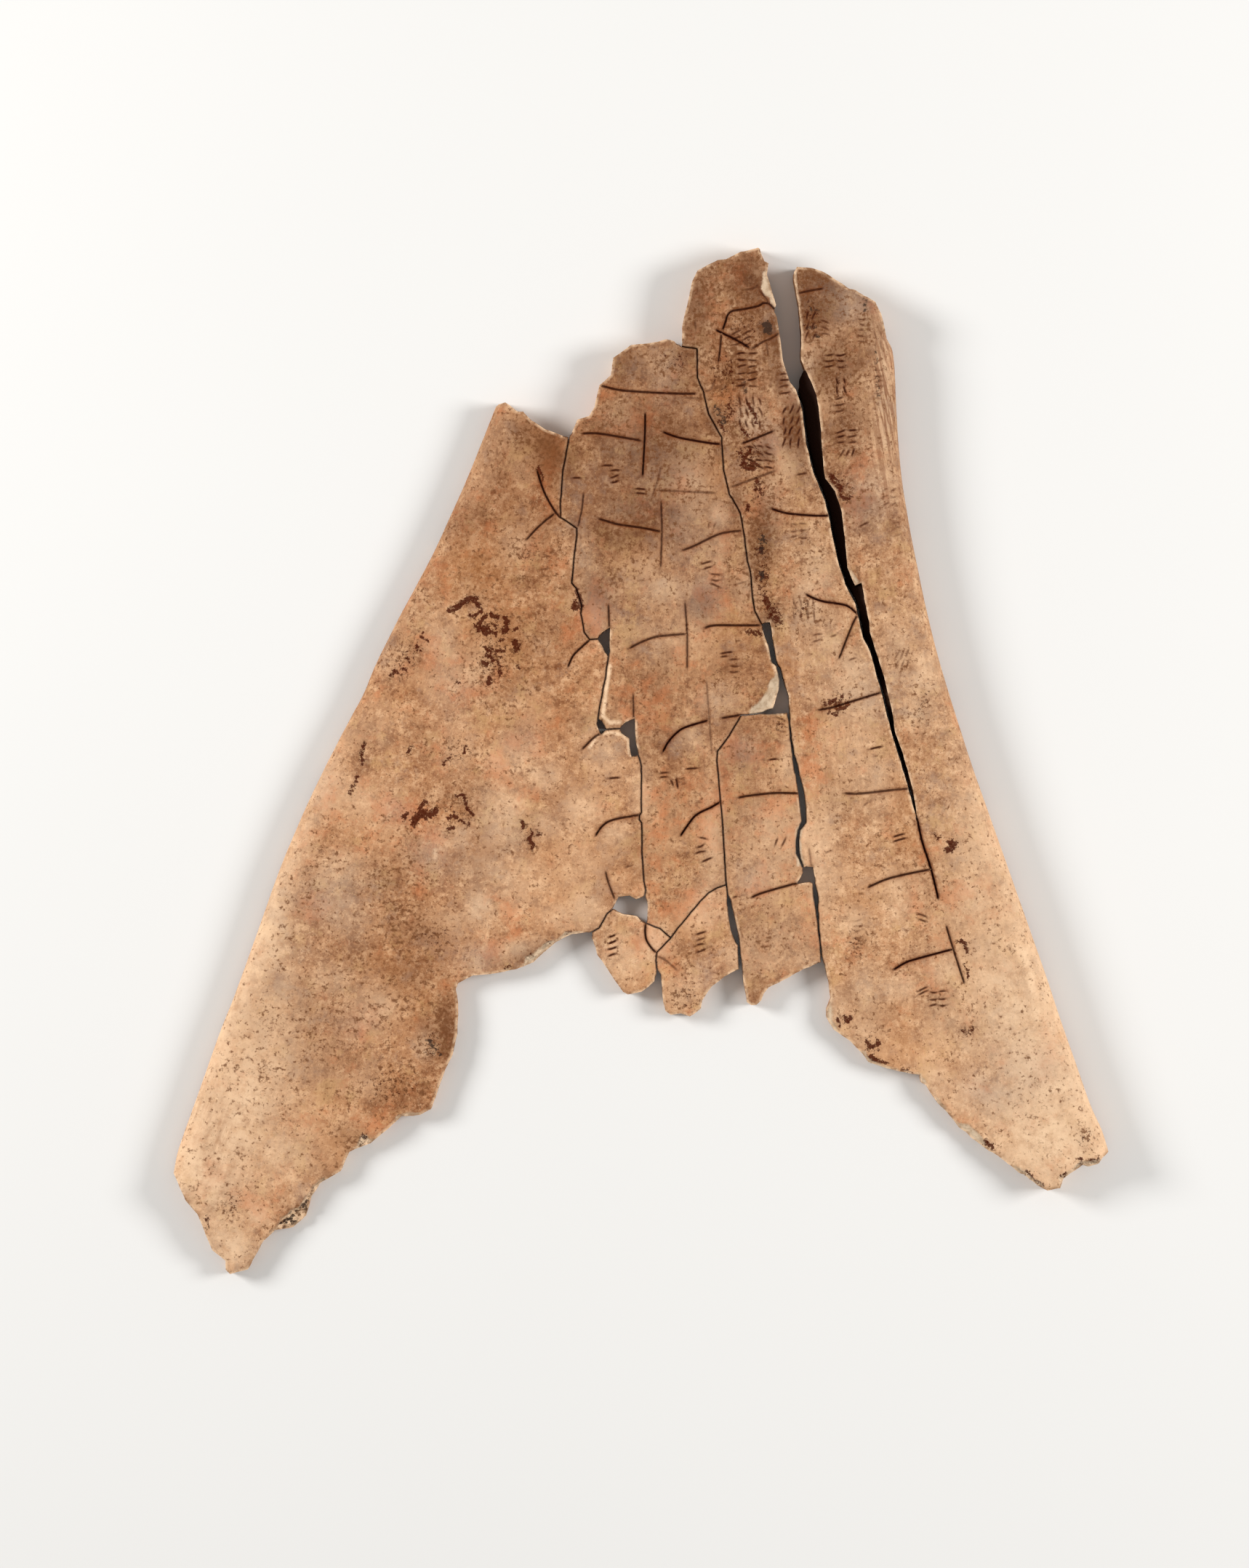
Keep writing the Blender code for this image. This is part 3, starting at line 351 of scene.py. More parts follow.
# Painted shade: broad darkening multiplied into the face colour, heaviest towards the neck and
# along some edges
PATCHES[Stain.SHADE] = [
    (2, 74, 18, 14, 0.8), (0, 58, 14, 9, 0.82), (-3, 93, 7, 6, 0.64), (14, 88, 6, 8, 0.6),
    (13, 106, 6, 16, 1, -12), (26, 112, 8, 12, 1), (24, 92, 8, 10, 0.65), (21, 77, 3, 8, 0.42),
    (41, 109, 8, 12, 1.25), (46, 92, 7, 10, 0.95), (52, 100, 6, 12, 0.6), (48, 78, 7, 10, 0.8),
    (37, 78, 5, 12, 1.2, 6), (28.5, 52, 4.4, 15, 0.85, -6), (30, 34, 3.6, 5, 0.9),
    (21, 24, 5, 6, 0.35), (-21, 72, 7, 10, 1.1, 20), (-33, 74, 7, 10, 0.5, -20),
    (-40, 57, 8, 10, 0.6, -20), (-52, 38, 5, 12, 0.35, -25), (-18, 38, 6, 14, 0.36),
    (-30, 60, 9, 9, 0.55), (-31, 17, 7, 6, 0.25), (-45, -62.6, 4.6, 9, 0.74),
    (-56, -79, 9, 6, 0.22, 25), (-78, -58, 10, 5, 0.24), (-53, -50, 8, 5, 0.4),
    (-72, -96, 6, 6, 0.3, 30), (-80, -107, 4, 4, 0.8), (-39, -24, 6, 4, 0.25),
    (-25, -45.2, 6, 3, 0.72, 30), (62, 78, 6, 30, 0.35), (58, 60, 6, 10, 0.25),
    (27, -54, 4, 4, 0.35), (20, 12, 8, 8, 0.18), (12, 78, 62, 46, 0.36), (32, 98, 4.4, 9, 1.15),
    (41, 73, 3.4, 10, 0.9), (-17, 55, 5, 5, 0.55), (14, 116, 12, 3, 1, 15),
    (52, 109, 6, 4, 0.8, -40), (28.6, 72, 3.6, 5, 0.95), (17.4, 80, 4, 5, 0.82),
    (22.6, 61, 3, 8, 0.85), (30, 34, 3, 5, 0.75), (-10, 39.4, 5, 5, 0.7), (-22, 30, 8, 8, 0.4),
    (-39, 42, 6, 7, 0.36), (3, 17, 6, 8, 0.4), (26, 5, 5, 6, 0.34), (24, -10, 6, 8, 0.28),
    (9, -7, 4, 6, 0.25), (-51, 5, 4, 5, 0.3), (-14.6, 9, 4, 3, 0.35), (46.4, -8.6, 4, 5, 0.42),
    (55, -60, 6, 5, 0.25), (14.8, 37, 4, 6, 0.8), (39, 50, 4, 8, 0.4), (-28, 42, 5, 5, 0.3),
    (-39, -6, 5, 4, 0.34), (-58, 27, 5, 4, 0.3), (-33, 64, 5, 8, 0.62), (23, 1.4, 5, 5, 0.54),
    (8, 53, 6, 6, 0.6), (45, 76, 8, 5, 0.85), (43, 92, 5, 9, 1), (51, 59, 7, 7, 0.55),
    (8, 86, 6, 7, 0.62), (-22, 56, 4, 5, 0.6), (4, 8, 5, 7, 0.42), (-68, -40, 4, 4, 0.2),
    (-27, 76, 6, 6, 0.85), (-6, 52, 5, 4, 0.85), (-65, 6, 3, 4, 0.24), (-50, -40, 6, 4, 0.34),
    (-35, -47, 4, 3, 0.36), (-68, -88, 5, 5, 0.36), (70, -57, 4, 4, 0.36), (0, -22, 4, 6, 0.34),
    (20, -15, 3, 7, 0.34), (-27, 68, 4.6, 5, 0.62), (-38, 48, 5, 4, 0.42), (-53, 26, 3, 5, 0.3),
    (-28, 8, 5, 6, 0.22), (-9, 9, 5, 3, 0.3), (-62, -28, 6, 6, 0.24), (-53, -20, 4, 4, 0.24),
    (-66, -46, 5, 5, 0.26), (-86, -60, 6, 6, 0.22), (-73, -73, 7, 6, 0.34), (-66, -71, 5, 4, 0.3),
    (-50, -62, 3, 4, 0.56), (6, 22, 4, 5, 0.42), (33, 90, 3, 5, 1.2), (29, 101, 2.6, 2.6, 1.2),
]
# Pale patches: cream lightening, partly paler bone and partly painted light, strongest at the lower
# tips
PATCHES[Stain.PALE] = [
    (87, -58, 9, 26, 0.78, 19), (95, -88, 15, 14, 1), (-94, -82, 10, 34, 0.86, -18),
    (-97, -113, 8, 7, 0.75), (-31, -28, 13, 10, 0.34), (-14, -26, 10, 12, 0.3),
    (31, -20, 8, 12, 0.36), (14, -36, 7, 4, 0.45, 20), (33, -42, 10, 8, 0.3),
    (38, -46, 4, 3, 0.35), (5, 29, 9, 5, 0.26), (1, 44, 6, 5, 0.34), (12, 65, 4.6, 8, 0.5, 20),
    (17, 52, 4, 8, 0.3), (47, 18, 7, 12, 0.28, 10), (40, 30, 5, 16, 0.22, 10),
    (25.4, 80.4, 3, 4, 1), (34.6, 69.6, 2.6, 3.4, 0.36), (78, -20, 6, 16, 0.4, 15),
    (52, -64, 8, 6, 0.4, 30), (76, -80, 7, 8, 0.32, 30), (-64, -55, 6, 5, 0.3),
    (30.6, 60, 2.6, 6, 0.45), (57, 88, 2.4, 18, 0.55), (-4.6, -46, 6, 7, 0.44),
    (34.6, 0, 2, 6, 0.4), (39.4, 93, 1.4, 4, 0.45), (23, 96.4, 1.2, 1.2, 0.5),
    (-66, -8, 6, 5, 0.3), (-82, -100, 10, 10, 0.2, 30), (-70, -25, 6, 4.5, 0.46),
    (-68, -37, 6, 7, 0.3, 10), (-86, -44, 6, 9, 0.58, -20), (-44, -37, 8, 4, 0.36, 10),
    (-95, -98, 9, 10, 0.46), (-32, -12, 6, 8, 0.52, 20), (-43, 3, 5, 6, 0.34, -20),
    (-57, 22, 4, 4, 0.26), (-37, 24, 4, 8, 0.26), (-9, 2, 6, 9, 0.42), (0, -7, 3, 8, 0.34),
    (-17, -36, 8, 4, 0.44), (3.6, -42, 5, 4, 0.58), (10, -54, 4, 5, 0.36), (17, -21, 3, 16, 0.36),
    (46, 15.4, 6, 4, 0.56, 10), (60, 26, 4.6, 7, 0.44), (55, -4, 5, 12, 0.34, 10),
    (42, -22, 4, 12, 0.42), (72, -60, 8, 6, 0.36), (4.6, 93.4, 5, 3, 0.34),
    (-3.6, 74.6, 4, 4.6, 0.36), (25, 41.4, 2.6, 5, 0.52), (39.4, 37, 3.6, 7, 0.64),
    (-29, 51, 4, 5, 0.3), (25.6, -44, 3, 8, 0.3), (-86, -92, 12, 8, 0.55, 20),
    (-73, -51, 6, 4, 0.46), (-61, -57, 5, 4, 0.5), (-37.6, -34, 4.6, 5, 0.62),
    (-28, -43.6, 5, 2.6, 0.55, 20), (-14, -11, 6, 6, 0.46), (-6.4, -17, 4, 4, 0.46),
    (-13, -34, 5, 6, 0.52), (-61, 7, 4, 5, 0.2), (5, 40.4, 5, 4, 0.5), (51, 15, 6, 6, 0.58),
    (65, 12, 4, 5, 0.48), (42, 43, 4, 6, 0.42), (78.6, -31, 5, 8, 0.56), (72, -48, 7, 6, 0.5),
    (69, -76, 4, 5, 0.62), (46, -58, 4, 5, 0.56), (38, -15.6, 2.6, 5, 0.5),
    (22, -45.6, 3, 4, 0.46), (15.6, -32, 4, 4, 0.46), (30, -46, 8, 4, 0.3, 20),
    (-100, -108, 8, 6, 0.55), (-31, -18, 6, 5, 0.42), (61, -34, 5, 4, 0.36),
    (-64, -75, 5, 4, 0.34), (-51, -66, 2.4, 4, 0.34), (-83, -50, 5, 5, 0.38),
    (-100, -100, 6, 8, 0.8), (12, 6, 4, 4, 0.36), (44.6, 28, 4, 7, 0.46), (18, 57.4, 3, 4, 0.5),
    (-5, 58.4, 4, 3, 0.3), (-42, -17, 5, 4, 0.36), (-22, -15, 5, 4, 0.42), (50, -37, 4, 4, 0.42),
    (61, -53, 5, 4, 0.42), (-32, 0, 5, 5, 0.36), (101, -92, 6, 5, 1), (-46, 29, 4, 6, 0.36),
    (-5, 80, 4, 4, 0.28), (-13, 48, 3, 6, 0.3), (13, 58, 4, 4, 0.3), (18, 14, 5, 4, 0.4),
    (-22, -4, 5, 4, 0.42), (-38, -25, 6, 4, 0.36), (-90, -106, 5, 4, 0.55),
    (-103, -95, 4, 9, 0.95, 15), (97, -77, 5, 6, 0.85), (77, -66, 4, 5, 0.5), (49, 21, 6, 6, 0.52),
    (66, 20, 4, 6, 0.54), (60, -29, 7, 4, 0.42), (53, -54, 4, 7, 0.42),
]
PATCHES[Stain.OCHRE] = [
    (-47, -40, 5, 5, 0.95), (-35, 28, 8, 10, 0.55, 10), (-89, -65, 6, 7, 0.6),
    (-93, -87, 5, 9, 0.6), (53, -32, 4, 7, 0.6), (45.6, 14, 4, 3, 0.75), (18, 66, 6, 5, 0.6),
    (1, 47, 6, 4, 0.6), (34, 20, 3, 5, 0.7), (-8.6, -24, 6, 8, 0.62), (-41.6, 4, 5, 4, 0.55),
    (-37, -21, 5, 4, 0.62), (-16, -7, 6, 5, 0.55), (61, -12, 4, 14, 0.5, 10), (76, -43, 6, 6, 0.4),
    (-30, 56, 3, 8, 0.55), (9.6, -39, 4, 4, 0.7), (-1, -52, 6, 3, 0.5), (-60, -75, 6, 4, 0.55),
    (27, 43, 4, 4, 0.5), (-22, 73, 4.5, 7, 0.95, 20), (46, -56, 3, 10, 0.45, 30),
    (-16, -30, 12, 10, 0.45), (-72, -90, 6, 8, 0.55, 30), (58, -66, 10, 8, 0.6, 20),
    (-38, 46, 8, 8, 0.6, -25), (72, -74, 8, 8, 0.45), (-57, -54, 8, 12, 0.45),
    (-54, 20, 4, 5, 0.4), (-26, 8, 10, 8, 0.3), (-43, -13, 4, 3, 0.6), (16, 84, 3, 5, 0.35),
    (58, -28, 8, 5, 0.45, 20), (86, -90, 4, 4, 0.55), (-93, -66, 5, 10, 0.3, 15),
    (20, 30, 6, 7, 0.35), (18.6, 86, 4, 5, 0.55), (-22, -22, 6, 5, 0.5), (-12, -3, 5, 8, 0.5),
]
PATCHES[Stain.FILM] = [
    (91, -72, 9, 7, 0.9, -20), (82, -77.6, 9, 5, 0.85, -20), (50, 107, 6, 5, 0.8),
    (14.6, 38, 5, 6, 0.65), (-48.6, -22, 5, 5, 0.6), (-73, -32, 7, 6, 0.6),
    (29.4, 75, 3.6, 4.6, 0.8), (53, 61, 6, 8, 0.6), (-38, -46, 6, 4, 0.6), (-9.6, 36, 3.6, 6, 0.6),
    (9, 53, 4, 10, 0.45, 15), (15.6, -50, 3, 4, 0.55), (-75, -4, 4, 6, 0.5), (3.4, 66, 6, 8, 0.35),
    (-44, 18, 6, 8, 0.35), (24, 2, 4, 4, 0.5), (26, -28, 4, 4, 0.45), (-27, 5, 5, 6, 0.4),
    (6, 88, 4, 5, 0.45), (-57, -11, 4, 4, 0.4), (-66, -62, 8, 5, 0.35), (36, 90, 3, 6, 0.5),
]
PATCHES[Stain.STREAK] = [
    (57, 84, 3.6, 26, 1), (20, 96, 6, 14, 0.45), (-8, 66, 8, 20, 0.25), (38, 14, 5, 30, 0.3, 10),
    (-100, -86, 5, 12, 0.4, 15),
]

# Chips and sloping breaks in the face: depth, how spongy, then the corners
CHIPS: list[tuple[float, float, list[Point]]] = [
    (1.4, 0, [(33, 21.4), (31.4, 20.4), (30.2, 18.4), (29.6, 16.6), (28, 14.4), (25.8, 12.6),
        (25.2, 10.9), (33.2, 10.9), (33.8, 16)]),
    (1.3, 0, [(28.7, 114.6), (30.6, 114.8), (30.6, 112.8), (31.8, 111.7), (33, 106), (31.9, 105.5),
        (31.1, 105.7), (30.2, 106.9), (29.9, 108.1), (28.9, 108.9), (27.9, 110.2), (28.2, 111.6)]),
    (0.8, 0, [(35, 116), (36.5, 115.8), (36.4, 112.6), (36.7, 109.4), (35, 109)]),
    (0.9, 0, [(33.4, 95), (33.6, 92.6), (34.7, 89.8), (35.7, 87.6), (37, 85.4), (37.8, 87),
        (35, 92.4)]),
    (1.1, 0, [(42.6, 67.2), (43.6, 65.4), (45.5, 63.4), (46, 61.6), (44, 62), (41.8, 65)]),
    (1.1, 0, [(47.8, 45.6), (49, 44.6), (50.6, 42.6), (51.4, 41), (49.6, 40.2), (47.4, 42.6)]),
    (0.9, 0, [(39, -13.9), (38.2, -14.6), (37.6, -18.6), (37.9, -21.5), (39, -24.6), (36.4, -24.6),
        (36, -15.6)]),
    (0.9, 0.15, [(44.6, -55.4), (44.9, -58), (45, -60.6), (46.4, -62.8), (46, -65), (41, -62),
        (42, -55)]),
    (0.8, 0.1, [(52.6, -67.6), (53.3, -69.4), (56, -70.8), (60.4, -72.2), (60, -74), (52, -71.6),
        (50.6, -68)]),
    (0.8, 0.1, [(65.6, -73), (67, -75), (66, -77), (64, -74)]),
    (0.9, 0.1, [(69.4, -78.6), (71.2, -81), (74, -84.4), (76.6, -84.9), (79.6, -87.4), (80.8, -89),
        (80, -91.6), (75, -88), (68.6, -80.6)]),
    (2.2, 1, [(-86.4, -110.6), (-85.2, -108.8), (-84, -107), (-82, -105.4), (-80.2, -104.2),
        (-79, -102.6), (-77.6, -100.8), (-76.4, -99), (-75.2, -98), (-74, -97.9), (-74.6, -100),
        (-77, -104.6), (-77.6, -108.6), (-81.6, -111)]),
    (0.9, 0.7, [(-66.6, -91.2), (-66.2, -89.6), (-65.2, -87.4), (-64.2, -87.6), (-63.6, -88.6),
        (-61.6, -88.4), (-62.4, -90)]),
    (0.5, 0.2, [(-57.4, -83), (-54.6, -82.4), (-52, -82.2), (-50.8, -82.6), (-52, -84.4),
        (-57.4, -84.6)]),
    (0.6, 0.3, [(-27, -45.8), (-24.4, -44.4), (-21.6, -42), (-19.4, -41.4), (-17.6, -40),
        (-14, -39.8), (-17, -43.4), (-22, -46.6), (-27.4, -49)]),
    (0.8, 0.6, [(97.8, -97.4), (99.8, -95.8), (102.6, -93.6), (107.4, -92.8), (109.4, -95.4),
        (98.4, -100.6)]),
    (0.8, 0.5, [(87.6, -94.4), (90.6, -96), (93, -98.2), (94.4, -99.4), (90, -101), (86, -96)]),
]


def array(points: list[Point]) -> np.ndarray:
    """Points as rows of an array."""
    return np.asarray(points, float).reshape(-1, 2)


def ease(value: np.ndarray) -> np.ndarray:
    """Numbers held between 0 and 1 and eased at both ends."""
    value = np.clip(value, 0.0, 1.0)
    return value * value * (3.0 - 2.0 * value)


def distance_to(line: np.ndarray, points: np.ndarray, closed: bool = False) -> np.ndarray:
    """Shortest distance from each point to a line.

    Args:
        line: The line's corners.
        points: The points to measure from.
        closed: Whether the line's last corner joins its first.

    Returns:
        One distance for each point.
    """
    ends = np.roll(line, -1, axis=0)
    starts = line if closed else line[:-1]
    ends = ends if closed else ends[:-1]
    best = np.full(len(points), FAR)
    for start, end in zip(starts, ends):
        run = end - start
        along = np.clip(((points - start) @ run) / max(run @ run, 1e-12), 0.0, 1.0)
        gap = points - start - along[:, None] * run
        best = np.minimum(best, np.einsum("ij,ij->i", gap, gap))
    return np.sqrt(best)


def within(outline: np.ndarray, points: np.ndarray) -> np.ndarray:
    """Whether each point lies inside a closed outline."""
    found = np.zeros(len(points), bool)
    for (ax, ay), (bx, by) in zip(outline, np.roll(outline, -1, axis=0)):
        if ay == by:
            continue
        crosses = (ay > points[:, 1]) != (by > points[:, 1])
        reach = ax + (bx - ax) * (points[:, 1] - ay) / (by - ay)
        found ^= crosses & (points[:, 0] < reach)
    return found


def curve(a: np.ndarray, b: np.ndarray, c: np.ndarray, d: np.ndarray,
          t: np.ndarray) -> np.ndarray:
    """Places at shares t of a smooth curve from b to c, with a before it and d after it."""
    return 0.5 * (2 * b + (c - a) * t + (2 * a - 5 * b + 4 * c - d) * t**2
                  + (3 * b - a - 3 * c + d) * t**3)


def rounded_line(points: np.ndarray, step: float) -> np.ndarray:
    """A smooth curve through points, sampled evenly.

    Args:
        points: The curve's own points.
        step: Spacing of the samples, in millimetres.

    Returns:
        Samples along the curve, ends included.
    """
    padded = np.vstack([2 * points[0] - points[1], points, 2 * points[-1] - points[-2]])
    samples = []
    for a, b, c, d in zip(padded, padded[1:], padded[2:], padded[3:]):
        count = max(1, math.ceil(np.linalg.norm(c - b) / step))
        t = (np.arange(count) / count)[:, None]
        samples.append(curve(a, b, c, d, t))
    return np.vstack(samples + [points[-1:]])


@dataclass(frozen=True)
class Roughcast:
    """Smooth seeded noise over the bone, used to move mesh points."""

    seed: int

    def at(self, points: np.ndarray, size: float) -> np.ndarray:
        """Noise from -1 to 1.

        Args:
            points: Places in two or three dimensions.
            size: Width of one lump, in millimetres.

        Returns:
            One number for each place.
        """
        table = np.random.default_rng(self.seed).uniform(-1.0, 1.0, NOISE_VALUES)
        spot = points / size
        cell = np.floor(spot).astype(np.int64)
        part = ease(spot - cell)
        total = np.zeros(len(points))
        for corner in range(2 ** points.shape[1]):
            bits = (corner >> np.arange(points.shape[1])) & 1
            key = ((cell + bits) * NOISE_KEYS[:len(bits)]).sum(1)
            weight = np.where(bits, part, 1.0 - part).prod(1)
            total += weight * table[(key ^ (key >> 13)) % NOISE_VALUES]
        return total

    def layered(self, points: np.ndarray, size: float, layers: int = 3) -> np.ndarray:
        """Several sizes of the noise added up, each half as wide and half as strong."""
        return sum(self.at(points + LAYER_SHIFT * i, size / 2**i) / 2**i
                   for i in range(layers))


@dataclass(frozen=True)
class BladeShape:
    """Thickness of the shoulder blade and the hollows in its back, in millimetres."""

    neck_thickness: float = 8.4
    blade_thickness: float = 4.4
    right_thickness: float = 11.0
    left_thickness: float = 7.6
    thin_below: float = -60.0
    thickening: float = 170.0
    rib_reach: float = 30.0
    rounding: float = 5.0
    rim_level: float = 0.42
    rim_wall: float = 0.5
    oval_half_length: float = 7.4
    oval_half_width: float = 3.6
    round_radius: float = 3.3
    round_shift: float = 5.6
    oval_depth: float = 0.62
    oval_slope: float = 1.25
    round_depth: float = 0.45
    round_scorch: Point = (1.9, 1.15)
    oval_scorch: Point = (1.7, 1.2)
    oval_share: float = 0.75

    def thickness(self, points: np.ndarray) -> np.ndarray:
        """Full thickness before the border is rounded."""
        gain = self.neck_thickness - self.blade_thickness
        plain = self.blade_thickness + gain * ease(
            (points[:, 1] - self.thin_below) / self.thickening)
        right = ease(1.0 - distance_to(array(RIGHT_BORDER), points) / self.rib_reach)
        left = ease(1.0 - distance_to(array(LEFT_BORDER), points) / self.rib_reach)
        return (plain + (self.right_thickness - plain) * right
                + (self.left_thickness - plain) * left)

    def border_distance(self, points: np.ndarray) -> np.ndarray:
        """Distance to the nearer natural border."""
        return np.minimum(distance_to(array(RIGHT_BORDER), points),
                          distance_to(array(LEFT_BORDER), points))

    def roundness(self, points: np.ndarray) -> np.ndarray:
        """0 at a natural border, 1 where the face has levelled off."""
        inner = 1.0 - np.minimum(self.border_distance(points) / self.rounding, 1.0)
        return np.sqrt(1.0 - inner * inner)

    def front(self, points: np.ndarray) -> np.ndarray:
        """Height of the written face."""
        full = self.thickness(points)
        rim = self.rim_level * full + self.rim_wall
        return rim + (full - rim) * self.roundness(points)

    def hollow(self, points: np.ndarray) -> tuple[np.ndarray, np.ndarray]:
        """The burnt hollows.

        Args:
            points: Places on the back.

        Returns:
            The depth at each place, and how scorched it is, from 0 to 1.
        """
        depth, scorch = np.zeros((2, len(points)))
        full = self.thickness(array(HOLLOWS))
        for (cx, cy), thick in zip(HOLLOWS, full):
            dx, dy = points[:, 0] - cx, points[:, 1] - cy
            oval = np.hypot(dx / self.oval_half_width, dy / self.oval_half_length)
            small = np.hypot(dx + self.round_shift, dy) / self.round_radius
            bowl = 1.0 - np.clip(small, 0.0, 1.0) ** 2
            pit = self.oval_depth * thick * ease(self.oval_slope * (1.0 - oval))
            depth = np.maximum(np.maximum(depth, pit), self.round_depth * thick * bowl)
            heat, loss = self.round_scorch
            scorch = np.maximum(scorch, ease(heat - loss * small))
            heat, loss = self.oval_scorch
            scorch = np.maximum(scorch, self.oval_share * ease(heat - loss * oval))
        return depth, scorch

    def back(self, points: np.ndarray) -> np.ndarray:
        """Height of the back."""
        rim = self.rim_level * self.thickness(points) - self.rim_wall
        return np.maximum(rim * (1.0 - self.roundness(points)), self.hollow(points)[0])


@dataclass(frozen=True)
class RimHighlightBand:
    """Painted highlight: a pale band along a rounded natural border, stronger low down."""

    border: list[Point]
    strength: float
    gain: float
    width: float
    gain_below: float = 20.0
    gain_fade: float = 60.0

    def at(self, flat: np.ndarray) -> np.ndarray:
        """How pale each place is."""
        lower = ease((self.gain_below - flat[:, 1]) / self.gain_fade)
        gap = distance_to(array(self.border), flat)
        return (self.strength + self.gain * lower) * (1.0 - ease(gap / self.width))


RIM_HIGHLIGHT_BANDS = (RimHighlightBand(LEFT_BORDER, 0.08, 0.82, 9.0), RimHighlightBand(RIGHT_BORDER, 0.10, 0.70, 8.0))


def new_object(name: str, data: ID) -> Object:
    """An object in the scene with the given data."""
    made = bpy.data.objects.new(name, data)
    bpy.context.scene.collection.objects.link(made)
    return made


def cad_outline(node: Object, upright: float = 0.01) -> np.ndarray:
    """The outline of a packed plate, seen from above.

    Args:
        node: The CAD node. Its upright walls carry the outline.
        upright: How far a wall's normal may point up or down.

    Returns:
        Corners in millimetres, anticlockwise.
    """
    mesh = node.data
    places = np.zeros(len(mesh.vertices) * 3, np.float32)
    mesh.vertices.foreach_get("co", places)
    places = np.round(places.reshape(-1, 3).astype(float) / MM, 3)
    nearby: dict[Point, set[Point]] = {}
    for face in mesh.polygons:
        if abs(face.normal.z) > upright:
            continue
        corners = [tuple(places[i][:2]) for i in face.vertices]
        for a, b in zip(corners, corners[1:] + corners[:1]):
            if a != b:
                nearby.setdefault(a, set()).add(b)
                nearby.setdefault(b, set()).add(a)
    start = min(nearby)
    loop, before = [start], None
    while True:
        onward = [p for p in sorted(nearby[loop[-1]]) if p != before]
        before = loop[-1]
        if onward[0] == start and len(loop) > 2:
            break
        loop.append(onward[0])
        if loop[-1] == start:
            loop.pop()
            break
    line = array(loop)
    turned = np.roll(line, -1, axis=0)
    area = (line[:, 0] * turned[:, 1] - turned[:, 0] * line[:, 1]).sum()
    return line if area > 0 else line[::-1]


class Region(Enum):
    """The parts of a piece's surface. The value is its material slot."""

    FACE = 0
    BREAK = 1
    BACK = 2


class Wiring:
    """Adds nodes to one tree and joins them."""

    def __init__(self, tree: NodeTree) -> None:
        """Keep the tree that the nodes go into."""
        self.tree = tree

    def node(self, kind: str, *values: object, **settings: object) -> Node:
        """Add a node.

        Args:
            kind: Blender's name of the node.
            values: What goes into its sockets, in order: a socket to link, a plain value,
                or None to leave one alone.
            settings: The node's own properties.

        Returns:
            The node.
        """
        made = self.tree.nodes.new(kind)
        for name, value in settings.items():
            setattr(made, name, value)
        for socket, value in zip(made.inputs, values):
            if value is not None:
                self.feed(socket, value)
        return made

    def feed(self, socket: NodeSocket, value: object) -> None:
        """Link a socket to another one, or give it a plain value."""
        if isinstance(value, NodeSocket):
            self.tree.links.new(value, socket)
        else:
            socket.default_value = value

    def math(self, operation: str, a: object, b: object = None, c: object = None) -> NodeSocket:
        """One sum of up to three numbers."""
        return self.node("ShaderNodeMath", a, b, c, operation=operation).outputs[0]

    def times(self, *parts: object) -> NodeSocket:
        """Numbers multiplied together."""
        return reduce(lambda a, b: self.math("MULTIPLY", a, b), parts)

    def plus(self, *parts: object) -> NodeSocket:
        """Numbers added up."""
        return reduce(lambda a, b: self.math("ADD", a, b), parts)

    def mix(self, factor: object, a: object, b: object, blend: str = "MIX") -> NodeSocket:
        """Two colours blended by a factor."""
        made = self.node("ShaderNodeMix", data_type="RGBA", blend_type=blend)
        for index, value in ((0, factor), (6, a), (7, b)):
            self.feed(made.inputs[index], value)
        return made.outputs[2]

    def step(self, value: object, low: float, high: float, to_low: float = 0.0,
             to_high: float = 1.0) -> NodeSocket:
        """A value eased from one range to another."""
        return self.node("ShaderNodeMapRange", value, low, high, to_low, to_high,
                         interpolation_type="SMOOTHSTEP").outputs[0]

    def noise(self, place: object, scale: object, detail: float = 2.0,
              rough: float = 0.5) -> NodeSocket:
        """Cloudy noise from 0 to 1."""
        return self.node("ShaderNodeTexNoise", place, None, scale, detail, rough).outputs[0]

    def attribute(self, name: str, output: str = "Fac") -> NodeSocket:
        """A value that the mesh carries, for a material."""
        return self.node("ShaderNodeAttribute", attribute_name=name).outputs[output]

    def named(self, name: str) -> NodeSocket:
        """A value that the mesh carries, for Geometry Nodes."""
        return self.node("GeometryNodeInputNamedAttribute", name).outputs["Attribute"]

    def vector(self, operation: str, a: object, b: object) -> NodeSocket:
        """One sum of two vectors."""
        return self.node("ShaderNodeVectorMath", a, b, operation=operation).outputs[0]

    def stretched(self, place: object, scale: tuple[float, float, float]) -> NodeSocket:
        """A place scaled along each axis."""
        return self.node("ShaderNodeMapping", place, None, None, scale).outputs[0]

    def shifted(self, place: object, shift: tuple[float, float, float]) -> NodeSocket:
        """A place moved, for a pattern of its own."""
        return self.node("ShaderNodeMapping", place, shift).outputs[0]


class Socket(Enum):
    """Kinds of group socket, by Blender's name."""

    NUMBER = "NodeSocketFloat"
    WHOLE = "NodeSocketInt"
    COLOUR = "NodeSocketColor"
    PLACE = "NodeSocketVector"
    SHAPE = "NodeSocketGeometry"
    OBJECT = "NodeSocketObject"
    MATERIAL = "NodeSocketMaterial"
    WORDS = "NodeSocketString"


